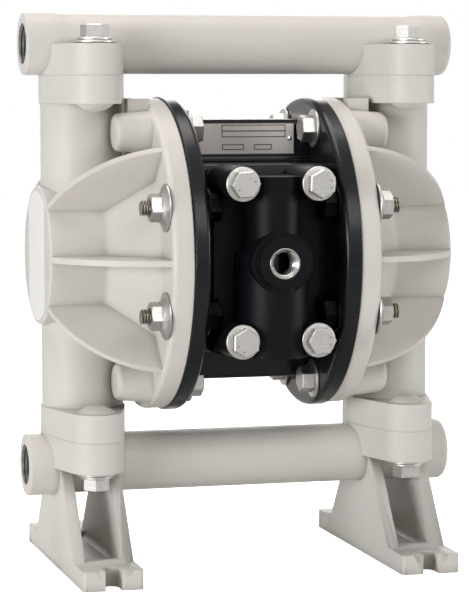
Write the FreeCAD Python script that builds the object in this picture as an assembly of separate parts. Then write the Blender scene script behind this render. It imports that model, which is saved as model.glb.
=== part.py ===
import FreeCAD, Part
import math
import os

# Air operated diaphragm pump, millimetres.
# X is the rod axis, the air inlet faces -Y, Z is up, and Z = 0 is the floor under the feet.

# Layout of the whole pump
column_offset = 83.6         # flow column from the middle of the pump
joint_offset = 93.0          # manifold joint from the rod axis, up and down
manifold_half_length = 114.3
cap_joint_x = 43.3           # face where fluid cap meets air cap
air_cap_back_x = 34.5        # face where air cap meets centre body

# Fasteners, one size of screw throughout
screw_radius = 3.97
hex_across_flats = 12.7
hex_height = 6.4
head_flange_height = 1.6
thread_gap = 0.05            # screw in its insert
hole_gap = 0.35              # screw in a through hole
fit_gap = 0.15               # loose part in its pocket
slide_gap = 0.05             # running clearance on a radius
seat_gap = 0.2               # between a ball and its seat or stop
cut_length = 40.0            # tool for a through hole, longer than any wall it goes through
insert_wall = 2.0

# Fluid cap
flange_radius = 81.0
flange_thickness = 11.0
cap_bolt_circle = 70.75
cap_bolt_count = 8
cone_base_radius = 57.0
core_radius = 35.0
cone_length = 22.7
core_end_x = 107.5
core_end_radius = 36.0
cap_wall = 5.5
chamber_end_wall = 5.0
rib_thickness = 3.2
rib_flange_inset = 2.0       # rib foot inside the flange rim
rib_tip_rise = 1.2           # rib tip above the rim of the core's end
rib_tip_setback = 0.8
rib_bulge = 9.0
rib_angles = (0, 45, 135, 180, 225, 315)
boss_radius = 10.9
boss_tip_radius = 9.6
boss_tip_corner = 3.0
boss_inset = 1.5             # boss axis nearer to the rod than its bolt
boss_length = 18.3
boss_end_wall = 4.0
boss_screw_gap = 1.0         # between a blind screw's end and the floor of its hole
nut_flange_radius = 12.0
nut_flange_height = 3.4
nut_rim_height = 1.2
nut_hex_height = 5.5
bolt_stick_out = 4.6
lug_length = 10.4            # lugs of the flange beside the flow column
lug_outer_y = 25.0
lug_inner_y = 17.0
lug_slope = 5.5

# Flow column and its ears
column_radius = 21.2
column_bore = 14.5
ear_offset = 34.0
ear_radius = 13.3
ear_hub_radius = 22.0
cap_ear_thickness = 14.5
ear_dome_radius = 9.5
ear_dome_height = 4.0
ear_screw_depth = 10.0
ear_screw_gap = 1.0          # between the screw's end and the floor of its hole
washer_radius = 10.4
washer_thickness = 1.5
manifold_head_flange_radius = 8.7

# Check valves
ball_radius = 9.525
ball_lift = 5.0
ball_chamber_radius = 11.5
seat_bore = 7.0
seat_radius = 13.0
seat_thickness = 6.0
seat_shelf = 8.0             # full wall of the column under the upper seat
seat_ring_radius = 15.6
seat_ring_thickness = 2.0
stop_bar_width = 5.0
stop_bar_height = 4.0

# Manifolds
tube_axis_height = 53.9      # inlet manifold axis above the floor
tube_radius = 15.5
collar_radius = 16.1
collar_length = 16.0
collar_taper = 6.0
tube_bore = 9.8
port_radius = 10.5
port_depth = 20.0
closed_end_wall = 6.0

# Feet under the inlet manifold
foot_width = 31.0
foot_half_length = 74.0
foot_base = 10.0
foot_corner = 2.0
foot_wall = 6.0
foot_wall_half_length = 50.0
foot_wall_top_half_length = 18.0
foot_pocket_depth = 3.0
foot_pocket_corner = 2.8
foot_bar = 10.0              # full base left at each end of the pocket
foot_slot_width = 8.5
foot_slot_depth = 12.0
foot_slot_bar = 2.0          # base between a slot and the joint of the foot's end
head_room_height = 12.0      # room for the lower screw heads between the foot walls
head_room_gap = 1.5

# Air cap
air_cap_radius = 82.0
air_cap_edge = 3.0
air_chamber_radius = 36.0
air_cap_floor = 4.0
air_cap_dish_radius = 50.0
air_cap_screw_y = 20.0
air_cap_screw_z = 39.0
air_cap_screw_radius = 3.0
air_cap_screw_head = 5.4
air_cap_screw_head_height = 2.0
air_cap_screw_length = 16.0
cap_head_flange_radius = 9.9

# Diaphragm
rim_inner_radius = 57.0
rim_outer_radius = 66.5
rim_thickness = 3.4
rim_lip_gap = 0.5            # groove wider than the rim on the inside
membrane_thickness = 2.4
convolution_height = 4.0
stroke = 7.5

# Connecting rod and what it carries
rod_radius = 7.94
clamp_radius = 34.0
clamp_thickness = 5.0
clamp_screw_radius = 4.0
clamp_screw_depth = 20.0
clamp_screw_head_radius = 8.5
clamp_screw_head_height = 6.0
bushing_length = 12.0
bushing_wall = 2.2
rod_seal_length = 4.5
rod_seal_wall = 4.0

# Centre body
body_half_depth = 45.0
body_half_height = 48.0
neck_half_depth = 16.5
neck_rise = 22.1             # neck above and below the deep part of the body
neck_drop = 17.4
body_corner = 3.0
chamber_recess = 7.0
pilot_height = 24.0
pilot_radius = 3.0
pilot_sleeve_wall = 2.5
pilot_travel = 3.0
exhaust_radius = 8.3
exhaust_depth = 36.0
exhaust_boss_radius = 13.0
exhaust_boss_height = 5.0

# Valve block
gasket_thickness = 1.0
block_depth = 37.0           # gasket to the seats of the block screws
block_half_width = 28.0
block_plate_thickness = 12.0
block_bolt_x = 19.6
block_bolt_inset = 8.8       # block screws inside the top and bottom of the body
block_boss_radius = 8.9
block_head_flange_radius = 8.65
block_screw_depth = 15.0
head_pocket_gap = 0.8
spool_setback = 24.0         # spool axis from the gasket
housing_drop = 5.4           # top of the block below the top of the body
block_corner = 3.0
gasket_inset = 2.0
housing_upper_radius = 13.5
housing_lower_radius = 17.5
housing_step = 4.0           # upper housing starts this far above the rod axis
small_piston_radius = 9.0
large_piston_radius = 12.0
piston_length = 11.0
spool_travel = 3.0
spool_stem_radius = 6.0
spool_collar_radius = 8.0
spool_collar_length = 4.0
spool_seal_width = 2.6
spool_seal_depth = 1.6
plug_thickness = 5.0
plug_lip = 1.5               # plug wider than the large bore
cap_end_wall = 4.0
insert_half_height = 7.0
insert_half_width = 8.0
insert_cavity_half_height = 19.0
plate_thickness = 3.0
plate_half_width = 11.0
plate_half_height = 16.0
plate_slot_pitch = 9.0
plate_slot_half_width = 6.0
plate_slot_half_height = 1.5
inlet_stand_out = 8.0        # inlet boss in front of the screw seats
inlet_boss_radius = 12.8
inlet_base_radius = 15.5
inlet_base_drop = 4.5
inlet_insert_radius = 8.0
inlet_thread_radius = 6.35
inlet_insert_length = 12.0

# Name plate
plate_length = 53.0
plate_lift = 3.8             # plate above the shoulder of the body
plate_height = 16.6
plate_sheet = 0.6
rivet_radius = 1.3
rivet_inset = 2.6

# Muffler on the exhaust, ending as far back as the inlet stands forward
muffler_hex = 22.0
muffler_hex_height = 7.0
muffler_radius = 12.0
muffler_ridge = 1.2
muffler_ridge_count = 7

# Worked out from the sizes above
axis_height = tube_axis_height + collar_radius + joint_offset
joint_low = axis_height - joint_offset
joint_high = axis_height + joint_offset
tube_low = joint_low - collar_radius
tube_high = joint_high + collar_radius
flange_face_x = cap_joint_x + flange_thickness
ball_height = math.sqrt((ball_radius + seat_gap) ** 2 - seat_bore ** 2)
ball_room = ball_height + ball_radius + ball_lift + seat_gap
clamp_face_x = cap_joint_x - membrane_thickness / 2 - clamp_thickness
pilot_half_length = clamp_face_x - stroke + pilot_travel - seat_gap
web_half = air_cap_back_x - chamber_recess
neck_top = body_half_height + neck_rise
neck_bottom = body_half_height + neck_drop
plate_low_z = body_half_height + plate_lift
plate_high_z = plate_low_z + plate_height
block_bolt_z = body_half_height - block_bolt_inset
housing_top = body_half_height - housing_drop
block_back_y = body_half_depth + gasket_thickness
block_face_y = block_back_y + block_depth
spool_axis_y = block_back_y + spool_setback
inlet_reach = block_face_y + inlet_stand_out
left_x = -1
right_x = 1

Vec = FreeCAD.Vector
ALONG_X = Vec(1, 0, 0)
ALONG_Y = Vec(0, 1, 0)
ALONG_Z = Vec(0, 0, 1)


def rod(radius, base, along, length):
    """Solid cylinder from base, length long in the direction along."""
    return Part.makeCylinder(radius, length, base, along)


def ring(outer, inner, base, along, length):
    """Tube from base."""
    return rod(outer, base, along, length).cut(rod(inner, base, along, length))


def block(low, high):
    """Box between two corners."""
    return Part.makeBox(high[0] - low[0], high[1] - low[1], high[2] - low[2], Vec(*low))


def fuse_all(shapes):
    """One shape from several that overlap or touch."""
    return shapes[0].fuse(shapes[1:]).removeSplitter()


def outline(corners, place):
    """Face through corners (a, b) or (a, b, rounding), put in space by place(a, b)."""
    edges = []
    ends = []
    for number, corner in enumerate(corners):
        here = Vec(corner[0], corner[1], 0)
        before = corners[number - 1]
        after = corners[(number + 1) % len(corners)]
        radius = corner[2] if len(corner) == 3 else 0
        if not radius:
            ends.append((here, None, here))
            continue
        back = (Vec(before[0], before[1], 0) - here).normalize()
        ahead = (Vec(after[0], after[1], 0) - here).normalize()
        half = back.getAngle(ahead) / 2
        middle = (back + ahead).normalize()
        reach = radius / math.tan(half)
        crown = here + middle * (radius / math.sin(half) - radius)
        ends.append((here + back * reach, crown, here + ahead * reach))
    for number, (start, crown, end) in enumerate(ends):
        here = place(end.x, end.y)
        if crown:
            edges.append(Part.Arc(place(start.x, start.y), place(crown.x, crown.y), here).toShape())
        following = ends[(number + 1) % len(ends)][0]
        if end.distanceToPoint(following) > 1e-6:
            edges.append(Part.LineSegment(here, place(following.x, following.y)).toShape())
    return Part.Face(Part.Wire(edges))


def turned_x(corners):
    """Body of revolution about the rod axis, from corners (x, radius)."""
    face = outline(corners, lambda x, r: Vec(x, 0, axis_height + r))
    return face.revolve(Vec(0, 0, axis_height), ALONG_X, 360)


def turned_z(corners, x, y):
    """Body of revolution about a vertical axis, from corners (radius, z)."""
    face = outline(corners, lambda r, z: Vec(x + r, y, z))
    return face.revolve(Vec(x, y, 0), ALONG_Z, 360)


def turned_y(corners, x, z):
    """Body of revolution about an axis along Y, from corners (radius, y)."""
    face = outline(corners, lambda r, y: Vec(x + r, y, z))
    return face.revolve(Vec(x, 0, z), ALONG_Y, 360)


def hexagon(across_flats, base, along, length, turn=0):
    """Hexagonal prism from base in the direction along."""
    corner = across_flats / math.sqrt(3)
    points = [Vec(corner * math.cos(math.radians(turn + 60 * step)),
                  corner * math.sin(math.radians(turn + 60 * step)), 0) for step in range(7)]
    prism = Part.Face(Part.makePolygon(points)).extrude(Vec(0, 0, length))
    prism.Placement = FreeCAD.Placement(base, FreeCAD.Rotation(ALONG_Z, along))
    return prism


def flange_screw(seat, along, length, flange_radius, turn=0):
    """Hexagon flange screw: the head stands on seat, the shank runs along."""
    flange = rod(flange_radius, seat, along * -1, head_flange_height)
    head = hexagon(hex_across_flats, seat - along * head_flange_height, along * -1, hex_height, turn)
    shank = rod(screw_radius, seat, along, length)
    return fuse_all([flange, head, shank])


def mirrored(shape):
    """The same shape on the other side of the pump."""
    return shape.mirror(Vec(0, 0, 0), ALONG_X)


def spread(piece, places):
    """Copies of a piece, as separate solids in one shape."""
    return Part.Compound([piece.translated(place) for place in places])


def around_rod_axis(y_out, z_up):
    return Vec(0, y_out, axis_height + z_up)


def cap_bolt_angles():
    """Angles of the cap bolts from the front, half a step off the horizontal."""
    step = 360 / cap_bolt_count
    return [step * (number + 0.5) for number in range(cap_bolt_count)]


def has_boss(angle):
    """Bolts nearest the flow column end in a blind boss, the others in a nut."""
    return abs(math.cos(math.radians(angle))) < abs(math.sin(math.radians(angle)))


def cap_bolt_place(angle, x):
    """Point on the bolt circle at the given distance from the middle of the pump."""
    turn = math.radians(angle)
    return Vec(x, -cap_bolt_circle * math.cos(turn), axis_height + cap_bolt_circle * math.sin(turn))


def oval_flange(x, low_z, high_z):
    """Two-bolt flange: a hub circle and two ear circles joined by their tangents."""
    lean = math.acos((ear_hub_radius - ear_radius) / ear_offset)
    side = Vec(math.sin(lean), math.cos(lean), 0)
    edges = []
    for sign in (1, -1):
        hub_right = Vec(side.x, side.y * sign, 0) * ear_hub_radius
        hub_left = Vec(-side.x, side.y * sign, 0) * ear_hub_radius
        middle = Vec(0, ear_offset * sign, 0)
        ear_right = middle + Vec(side.x, side.y * sign, 0) * ear_radius
        ear_left = middle + Vec(-side.x, side.y * sign, 0) * ear_radius
        edges.append(Part.LineSegment(hub_right, ear_right).toShape())
        edges.append(Part.Arc(ear_right, middle + Vec(0, ear_radius * sign, 0), ear_left).toShape())
        edges.append(Part.LineSegment(ear_left, hub_left).toShape())
        hub_side = Vec(ear_hub_radius * sign, 0, 0)
        hub_start = Vec(side.x * sign, side.y, 0) * ear_hub_radius
        hub_end = Vec(side.x * sign, -side.y, 0) * ear_hub_radius
        edges.append(Part.Arc(hub_start, hub_side, hub_end).toShape())
    face = Part.Face(Part.Wire(Part.__sortEdges__(edges)))
    return face.extrude(Vec(0, 0, high_z - low_z)).translated(Vec(x, 0, low_z))


def ear_places(z):
    """The four ear screw axes of one manifold."""
    return [Vec(x * column_offset, y * ear_offset, z) for x in (left_x, right_x) for y in (-1, 1)]


def cap_rib():
    """One radial rib, seen in the plane through the rod axis."""
    foot = Vec(flange_face_x, 0, flange_radius - rib_flange_inset)
    tip_x = core_end_x - rib_tip_setback
    tip = Vec(tip_x, 0, core_end_radius + rib_tip_rise)
    chord = tip - foot
    outward = Vec(-chord.z, 0, chord.x).normalize()
    crown = (foot + tip) * 0.5 + outward * rib_bulge
    hub_foot = Vec(flange_face_x - 1, 0, core_radius / 2)
    hub_tip = Vec(tip_x, 0, core_radius / 2)
    inner_foot = Vec(hub_foot.x, 0, foot.z)
    edges = [
        Part.Arc(foot, crown, tip).toShape(),
        Part.LineSegment(tip, hub_tip).toShape(),
        Part.LineSegment(hub_tip, hub_foot).toShape(),
        Part.LineSegment(hub_foot, inner_foot).toShape(),
        Part.LineSegment(inner_foot, foot).toShape(),
    ]
    plate = Part.Face(Part.Wire(edges)).extrude(Vec(0, rib_thickness, 0))
    return plate.translated(Vec(0, -rib_thickness / 2, axis_height))


def cap_shell():
    """Flange, cone and core of a fluid cap, as one turned body."""
    cone_end_x = flange_face_x + cone_length
    return turned_x([
        (cap_joint_x, 0),
        (cap_joint_x, flange_radius, 0.6),
        (flange_face_x, flange_radius, 2.5),
        (flange_face_x, cone_base_radius, 3.0),
        (cone_end_x, core_radius, 4.0),
        (core_end_x, core_end_radius, 1.5),
        (core_end_x, 0),
    ])


def cap_chamber():
    """Room for the fluid, the clamp washer and the screw head on their stroke."""
    cone_start_x = cap_joint_x + 3.0
    chamber_radius = core_radius - cap_wall
    return turned_x([
        (cap_joint_x - 1, 0),
        (cap_joint_x - 1, rim_inner_radius),
        (cone_start_x, rim_inner_radius, 3.0),
        (cone_start_x + cone_length, chamber_radius + (cone_base_radius - core_radius) * 0.1, 4.0),
        (core_end_x - chamber_end_wall, chamber_radius, 6.0),
        (core_end_x - chamber_end_wall, 0),
    ])


def column_bores():
    """Ball room at the foot, wide middle, and seat pocket at the top of the flow column."""
    seat_floor = joint_high - seat_thickness
    return turned_z([
        (0, joint_low - 1),
        (ball_chamber_radius, joint_low - 1),
        (ball_chamber_radius, joint_low + ball_room + stop_bar_height),
        (column_bore, joint_low + ball_room + stop_bar_height + 4),
        (column_bore, seat_floor - seat_shelf - 4),
        (ball_chamber_radius, seat_floor - seat_shelf),
        (ball_chamber_radius, seat_floor),
        (seat_radius + fit_gap, seat_floor),
        (seat_radius + fit_gap, joint_high + 1),
        (0, joint_high + 1),
    ], column_offset, 0)


def stop_bar(low_z):
    """Bar across the column that limits the lift of the lower ball."""
    half = stop_bar_width / 2
    reach = column_radius - 1
    low = (column_offset - half, -reach, low_z)
    high = (column_offset + half, reach, low_z + stop_bar_height)
    return block(low, high)


def ear_dome(place, along):
    """Moulded dome over the blind end of an ear screw."""
    radius = (ear_dome_radius ** 2 + ear_dome_height ** 2) / (2 * ear_dome_height)
    ball = Part.makeSphere(radius, place - along * (radius - ear_dome_height))
    return ball.common(rod(ear_dome_radius, place - along, along, ear_dome_height + 1))


def bolt_boss(angle):
    """Tapering blind boss behind a cap bolt."""
    start = -1
    profile = outline([
        (start, 0), (start, boss_radius), (boss_length, boss_tip_radius, boss_tip_corner), (boss_length, 0),
    ], lambda x, r: Vec(flange_face_x + x, 0, r))
    boss = profile.revolve(Vec(0, 0, 0), ALONG_X, 360)
    bolt = cap_bolt_place(angle, 0)
    inward = around_rod_axis(0, 0) - bolt
    return boss.translated(bolt + inward.normalize() * boss_inset)


def flange_lug(angle):
    """Small lug on the back of the flange beyond a boss; the lower ones slope to the column."""
    side = -1 if cap_bolt_place(angle, 0).y < 0 else 1
    up = 1 if cap_bolt_place(angle, 0).z > axis_height else -1
    corner = math.sqrt(flange_radius ** 2 - lug_outer_y ** 2)
    reach = flange_face_x + lug_length
    if up > 0:
        ends = (flange_radius, flange_radius)
    else:
        ends = (corner, corner - lug_slope)
    inner = cap_bolt_circle - boss_radius
    face = outline([
        (flange_face_x - 1, inner), (flange_face_x - 1, ends[0]), (flange_face_x, ends[0]),
        (reach, ends[1]), (reach, inner),
    ], lambda x, z: Vec(x, side * lug_inner_y, axis_height + up * z))
    return face.extrude(Vec(0, side * (lug_outer_y - lug_inner_y), 0))


def fluid_cap():
    """Right fluid cap: shell, column, ears, ribs and bosses, then its hollows and holes."""
    ear_low = (joint_low, joint_low + cap_ear_thickness)
    ear_high = (joint_high - cap_ear_thickness, joint_high)
    pieces = [cap_shell()]
    pieces.append(rod(column_radius, Vec(column_offset, 0, joint_low), ALONG_Z, joint_high - joint_low))
    pieces.append(oval_flange(column_offset, *ear_low))
    pieces.append(oval_flange(column_offset, *ear_high))
    for y_sign in (-1, 1):
        pieces.append(ear_dome(Vec(column_offset, y_sign * ear_offset, ear_low[1]), ALONG_Z))
        pieces.append(ear_dome(Vec(column_offset, y_sign * ear_offset, ear_high[0]), ALONG_Z * -1))
    for angle in rib_angles:
        pieces.append(cap_rib().rotate(Vec(0, 0, axis_height), ALONG_X, angle - 90))
    for angle in cap_bolt_angles():
        if has_boss(angle):
            pieces.append(bolt_boss(angle))
            pieces.append(flange_lug(angle))
    cap = fuse_all(pieces)
    hollows = fuse_all([cap_chamber(), column_bores()])
    cap = cap.cut(hollows.cut(stop_bar(joint_low + ball_room)))
    cap = cap.cut(rim_groove(cap_joint_x, cap_joint_x + rim_thickness / 2))
    cap = cap.cut(ring_groove(joint_high))
    for angle in cap_bolt_angles():
        radius = screw_radius + (insert_wall if has_boss(angle) else hole_gap)
        depth = flange_thickness + boss_length - boss_end_wall if has_boss(angle) else flange_thickness + 2
        cap = cap.cut(rod(radius, cap_bolt_place(angle, cap_joint_x - 1), ALONG_X, depth + 1))
    for y_sign in (-1, 1):
        for base_z, along in ((joint_low, ALONG_Z), (joint_high, ALONG_Z * -1)):
            base = Vec(column_offset, y_sign * ear_offset, base_z)
            cap = cap.cut(rod(screw_radius + insert_wall, base, along, ear_screw_depth + 1))
    return cap


def rim_groove(low_x, high_x):
    """Groove that holds half of the diaphragm's rim."""
    return turned_x([
        (low_x, rim_inner_radius - rim_lip_gap),
        (low_x, rim_outer_radius + fit_gap),
        (high_x, rim_outer_radius + fit_gap),
        (high_x, rim_inner_radius - rim_lip_gap),
    ])


def ring_groove(joint_z):
    """Groove for a seat ring, on the lower side of a joint at the right column."""
    half = seat_ring_thickness / 2 + fit_gap
    base = Vec(column_offset, 0, joint_z - seat_ring_thickness - fit_gap)
    return ring(seat_ring_radius + half, seat_ring_radius - half, base, ALONG_Z, seat_ring_thickness + 1)


def cap_inserts():
    """Threaded inserts moulded into one cap: four blind bosses and four ears."""
    inserts = []
    outer = screw_radius + insert_wall - thread_gap
    inner = screw_radius + thread_gap
    for angle in cap_bolt_angles():
        if has_boss(angle):
            length = boss_length - boss_end_wall - boss_screw_gap
            inserts.append(ring(outer, inner, cap_bolt_place(angle, flange_face_x), ALONG_X, length))
    for y_sign in (-1, 1):
        for base_z, along in ((joint_low, ALONG_Z), (joint_high, ALONG_Z * -1)):
            base = Vec(column_offset, y_sign * ear_offset, base_z)
            inserts.append(ring(outer, inner, base, along, ear_screw_depth))
    return Part.Compound(inserts)


def cap_bolts():
    """Eight flange screws of the right side, heads on the air cap."""
    through = flange_face_x + nut_flange_height + nut_hex_height + bolt_stick_out
    blind = flange_face_x + boss_length - boss_end_wall - boss_screw_gap
    screws = []
    for angle in cap_bolt_angles():
        seat = cap_bolt_place(angle, air_cap_back_x)
        length = (blind if has_boss(angle) else through) - air_cap_back_x
        screws.append(flange_screw(seat, ALONG_X, length, cap_head_flange_radius))
    return Part.Compound(screws)


def cap_nuts():
    """Nuts with a wide conical flange on the four through bolts of the right side."""
    nuts = []
    for angle in cap_bolt_angles():
        if has_boss(angle):
            continue
        base = cap_bolt_place(angle, flange_face_x)
        top = base + Vec(nut_flange_height, 0, 0)
        rim = rod(nut_flange_radius, base, ALONG_X, nut_rim_height)
        skirt = Part.makeCone(nut_flange_radius, hex_across_flats / 2, nut_flange_height - nut_rim_height,
                              base + Vec(nut_rim_height, 0, 0), ALONG_X)
        prism = hexagon(hex_across_flats, top - Vec(1, 0, 0), ALONG_X, nut_hex_height + 1)
        hole = rod(screw_radius + thread_gap, base, ALONG_X, nut_flange_height + nut_hex_height)
        nuts.append(fuse_all([rim, skirt, prism]).cut(hole))
    return Part.Compound(nuts)


def air_cap():
    """Right air cap: dished disc with its chamber, rim groove and holes."""
    floor_x = air_cap_back_x + air_cap_floor
    cap = turned_x([
        (air_cap_back_x, air_chamber_radius),
        (air_cap_back_x, air_cap_radius, air_cap_edge),
        (cap_joint_x, air_cap_radius, 0.6),
        (cap_joint_x, rim_inner_radius - rim_lip_gap),
        (cap_joint_x - rim_thickness / 2, rim_inner_radius - rim_lip_gap),
        (floor_x, air_cap_dish_radius),
        (floor_x, air_chamber_radius),
    ])
    cap = cap.cut(rim_groove(cap_joint_x - rim_thickness / 2, cap_joint_x))
    for angle in cap_bolt_angles():
        hole = rod(screw_radius + hole_gap, cap_bolt_place(angle, air_cap_back_x - 1), ALONG_X, cut_length)
        cap = cap.cut(hole)
    for place in air_cap_screw_places(air_cap_back_x - 1):
        cap = cap.cut(rod(air_cap_screw_radius + hole_gap, place, ALONG_X, cut_length))
        sink = rod(air_cap_screw_head + fit_gap, place, ALONG_X, cut_length)
        cap = cap.cut(sink.translated(Vec(air_cap_floor - 1, 0, 0)))
    return cap


def air_cap_screw_places(x):
    """Four screws that hold the air cap to the centre body."""
    return [Vec(x, y * air_cap_screw_y, axis_height + z * air_cap_screw_z)
            for y in (-1, 1) for z in (-1, 1)]


def air_cap_screws():
    """Countersunk screws of the right air cap, heads inside the air chamber."""
    head_x = air_cap_back_x + air_cap_floor - air_cap_screw_head_height
    screws = []
    for place in air_cap_screw_places(head_x):
        head = rod(air_cap_screw_head, place, ALONG_X, air_cap_screw_head_height)
        shank = rod(air_cap_screw_radius, place, ALONG_X * -1, air_cap_screw_length)
        screws.append(head.fuse(shank))
    return Part.Compound(screws)


def diaphragm():
    """Right diaphragm: thick rim, one convolution, flat clamped centre."""
    half = membrane_thickness / 2
    rim_half = rim_thickness / 2
    inner = clamp_radius + 2
    outer = rim_inner_radius - 1
    middle = (inner + outer) / 2

    def place(x, r):
        return Vec(cap_joint_x + x, 0, axis_height + r)

    hole = clamp_screw_radius
    line = Part.LineSegment
    edges = [
        line(place(-half, hole), place(half, hole)),
        line(place(half, hole), place(half, inner)),
        Part.Arc(place(half, inner), place(half + convolution_height, middle), place(half, outer)),
        line(place(half, outer), place(rim_half, rim_inner_radius)),
        line(place(rim_half, rim_inner_radius), place(rim_half, rim_outer_radius)),
        line(place(rim_half, rim_outer_radius), place(-rim_half, rim_outer_radius)),
        line(place(-rim_half, rim_outer_radius), place(-rim_half, rim_inner_radius)),
        line(place(-rim_half, rim_inner_radius), place(-half, outer)),
        Part.Arc(place(-half, outer), place(convolution_height - half, middle), place(-half, inner)),
        line(place(-half, inner), place(-half, hole)),
    ]
    face = Part.Face(Part.Wire([edge.toShape() for edge in edges]))
    return face.revolve(Vec(0, 0, axis_height), ALONG_X, 360)


def connecting_rod():
    """Rod through the centre body, tapped at both ends."""
    body = rod(rod_radius, around_rod_axis(0, 0) - Vec(clamp_face_x, 0, 0), ALONG_X, 2 * clamp_face_x)
    for sign in (left_x, right_x):
        end = Vec(sign * clamp_face_x, 0, axis_height)
        body = body.cut(rod(clamp_screw_radius + thread_gap, end, ALONG_X * -sign, clamp_screw_depth))
    return body


def clamp_washer(outward):
    """Dished washer on one side of the right diaphragm; outward is 1 on the fluid side."""
    face_x = cap_joint_x + outward * membrane_thickness / 2
    return turned_x([
        (face_x, clamp_screw_radius + hole_gap),
        (face_x, clamp_radius, 0.8),
        (face_x + outward * clamp_thickness * 0.5, clamp_radius, 0.8),
        (face_x + outward * clamp_thickness, clamp_radius * 0.6),
        (face_x + outward * clamp_thickness, clamp_screw_radius + hole_gap),
    ])


def diaphragm_screw():
    """Screw that clamps the right diaphragm and washers to the rod."""
    face_x = cap_joint_x + membrane_thickness / 2 + clamp_thickness
    seat = Vec(face_x, 0, axis_height)
    depth = face_x - clamp_face_x + clamp_screw_depth - 2
    head = hexagon(2 * clamp_screw_head_radius, seat, ALONG_X, clamp_screw_head_height)
    return head.fuse(rod(clamp_screw_radius, seat, ALONG_X * -1, depth))


def rod_bushings():
    """Two bearings of the rod in the centre body."""
    inner = rod_radius + slide_gap
    bushing_x = web_half - rod_seal_length - bushing_length
    right = ring(inner + bushing_wall, inner, Vec(bushing_x, 0, axis_height), ALONG_X, bushing_length)
    return Part.Compound([right, mirrored(right)])


def rod_seals():
    """Two lip seals outside the bushings."""
    inner = rod_radius + slide_gap
    start = Vec(web_half - rod_seal_length, 0, axis_height)
    right = ring(inner + rod_seal_wall, inner, start, ALONG_X, rod_seal_length)
    return Part.Compound([right, mirrored(right)])


def pilot_place(x):
    return Vec(x, 0, axis_height + pilot_height)


def pilot_rod():
    """Rod that the clamp washers push at each end of the stroke, waisted to pass pilot air."""
    waist = 4.0
    body = rod(pilot_radius, pilot_place(-pilot_half_length), ALONG_X, 2 * pilot_half_length)
    for x in (-2.5 * waist, 1.5 * waist):
        body = body.cut(ring(pilot_radius + 1, pilot_radius * 0.6, pilot_place(x), ALONG_X, waist))
    return body


def pilot_sleeve():
    """Sleeve of the pilot rod, fixed in the centre body."""
    inner = pilot_radius + slide_gap
    return ring(inner + pilot_sleeve_wall, inner, pilot_place(-web_half), ALONG_X, 2 * web_half)


def center_body():
    """Moulded centre body: deep middle, narrow necks, bores, chambers and passages."""
    half_width = air_cap_back_x

    def front(y, z):
        return Vec(-half_width, y, axis_height + z)

    section = outline([
        (-body_half_depth, -body_half_height, body_corner),
        (-neck_half_depth, -body_half_height, body_corner),
        (-neck_half_depth, -neck_bottom, body_corner),
        (neck_half_depth, -neck_bottom, body_corner),
        (neck_half_depth, -body_half_height, body_corner),
        (body_half_depth, -body_half_height, body_corner),
        (body_half_depth, body_half_height, body_corner),
        (neck_half_depth, body_half_height, body_corner),
        (neck_half_depth, neck_top, body_corner),
        (-neck_half_depth, neck_top, body_corner),
        (-neck_half_depth, body_half_height, body_corner),
        (-body_half_depth, body_half_height, body_corner),
    ], front)
    body = section.extrude(Vec(2 * half_width, 0, 0))
    rear = Vec(0, body_half_depth - 1, axis_height)
    body = body.fuse(rod(exhaust_boss_radius, rear, ALONG_Y, exhaust_boss_height + 1))
    inner = rod_radius + slide_gap
    cuts = [rod(inner + 1, Vec(-web_half, 0, axis_height), ALONG_X, 2 * web_half)]
    bushing_depth = rod_seal_length + bushing_length
    for sign in (left_x, right_x):
        along = ALONG_X * sign
        mouth = Vec(sign * web_half, 0, axis_height)
        cuts.append(rod(air_chamber_radius, mouth, along, chamber_recess + 1))
        cuts.append(rod(inner + bushing_wall, mouth - along * bushing_depth, along, bushing_depth + 1))
        cuts.append(rod(inner + rod_seal_wall, mouth - along * rod_seal_length, along, rod_seal_length + 1))
        for place in air_cap_screw_places(sign * air_cap_back_x):
            foot_end = place - along * air_cap_screw_length
            cuts.append(rod(air_cap_screw_radius + thread_gap, foot_end, along, air_cap_screw_length + 1))
    sleeve_radius = pilot_radius + slide_gap + pilot_sleeve_wall
    cuts.append(rod(sleeve_radius, pilot_place(-web_half - 1), ALONG_X, 2 * web_half + 2))
    exhaust_end = Vec(0, body_half_depth + exhaust_boss_height - exhaust_depth, axis_height)
    cuts.append(rod(exhaust_radius, exhaust_end, ALONG_Y, exhaust_depth + 1))
    for x, z in block_bolt_places():
        place = Vec(x, -body_half_depth, axis_height + z)
        cuts.append(rod(screw_radius + thread_gap, place, ALONG_Y, block_screw_depth + 1))
    cuts.append(valve_plate_solid(fit_gap))
    return body.cut(fuse_all(cuts))


def valve_plate_solid(gap):
    """Plate with rounded corners in the front face of the centre body."""
    half_x = plate_half_width + gap
    half_z = plate_half_height + gap
    face = outline([
        (-half_x, -half_z, 3), (half_x, -half_z, 3), (half_x, half_z, 3), (-half_x, half_z, 3),
    ], lambda x, z: Vec(x, -body_half_depth, axis_height + z))
    return face.extrude(Vec(0, plate_thickness, 0))


def valve_plate():
    """Hard plate with three slots that the valve insert slides on."""
    plate = valve_plate_solid(0)
    for z in (-plate_slot_pitch, 0, plate_slot_pitch):
        middle = axis_height + z
        back_y = -body_half_depth + plate_thickness + 1
        low = (-plate_slot_half_width, -body_half_depth - 1, middle - plate_slot_half_height)
        high = (plate_slot_half_width, back_y, middle + plate_slot_half_height)
        plate = plate.cut(block(low, high))
    return plate


def block_bolt_places():
    """Places (x, z) of the valve block screws about the rod axis."""
    return [(x * block_bolt_x, z * block_bolt_z) for x in (-1, 1) for z in (-1, 1)]


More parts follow.
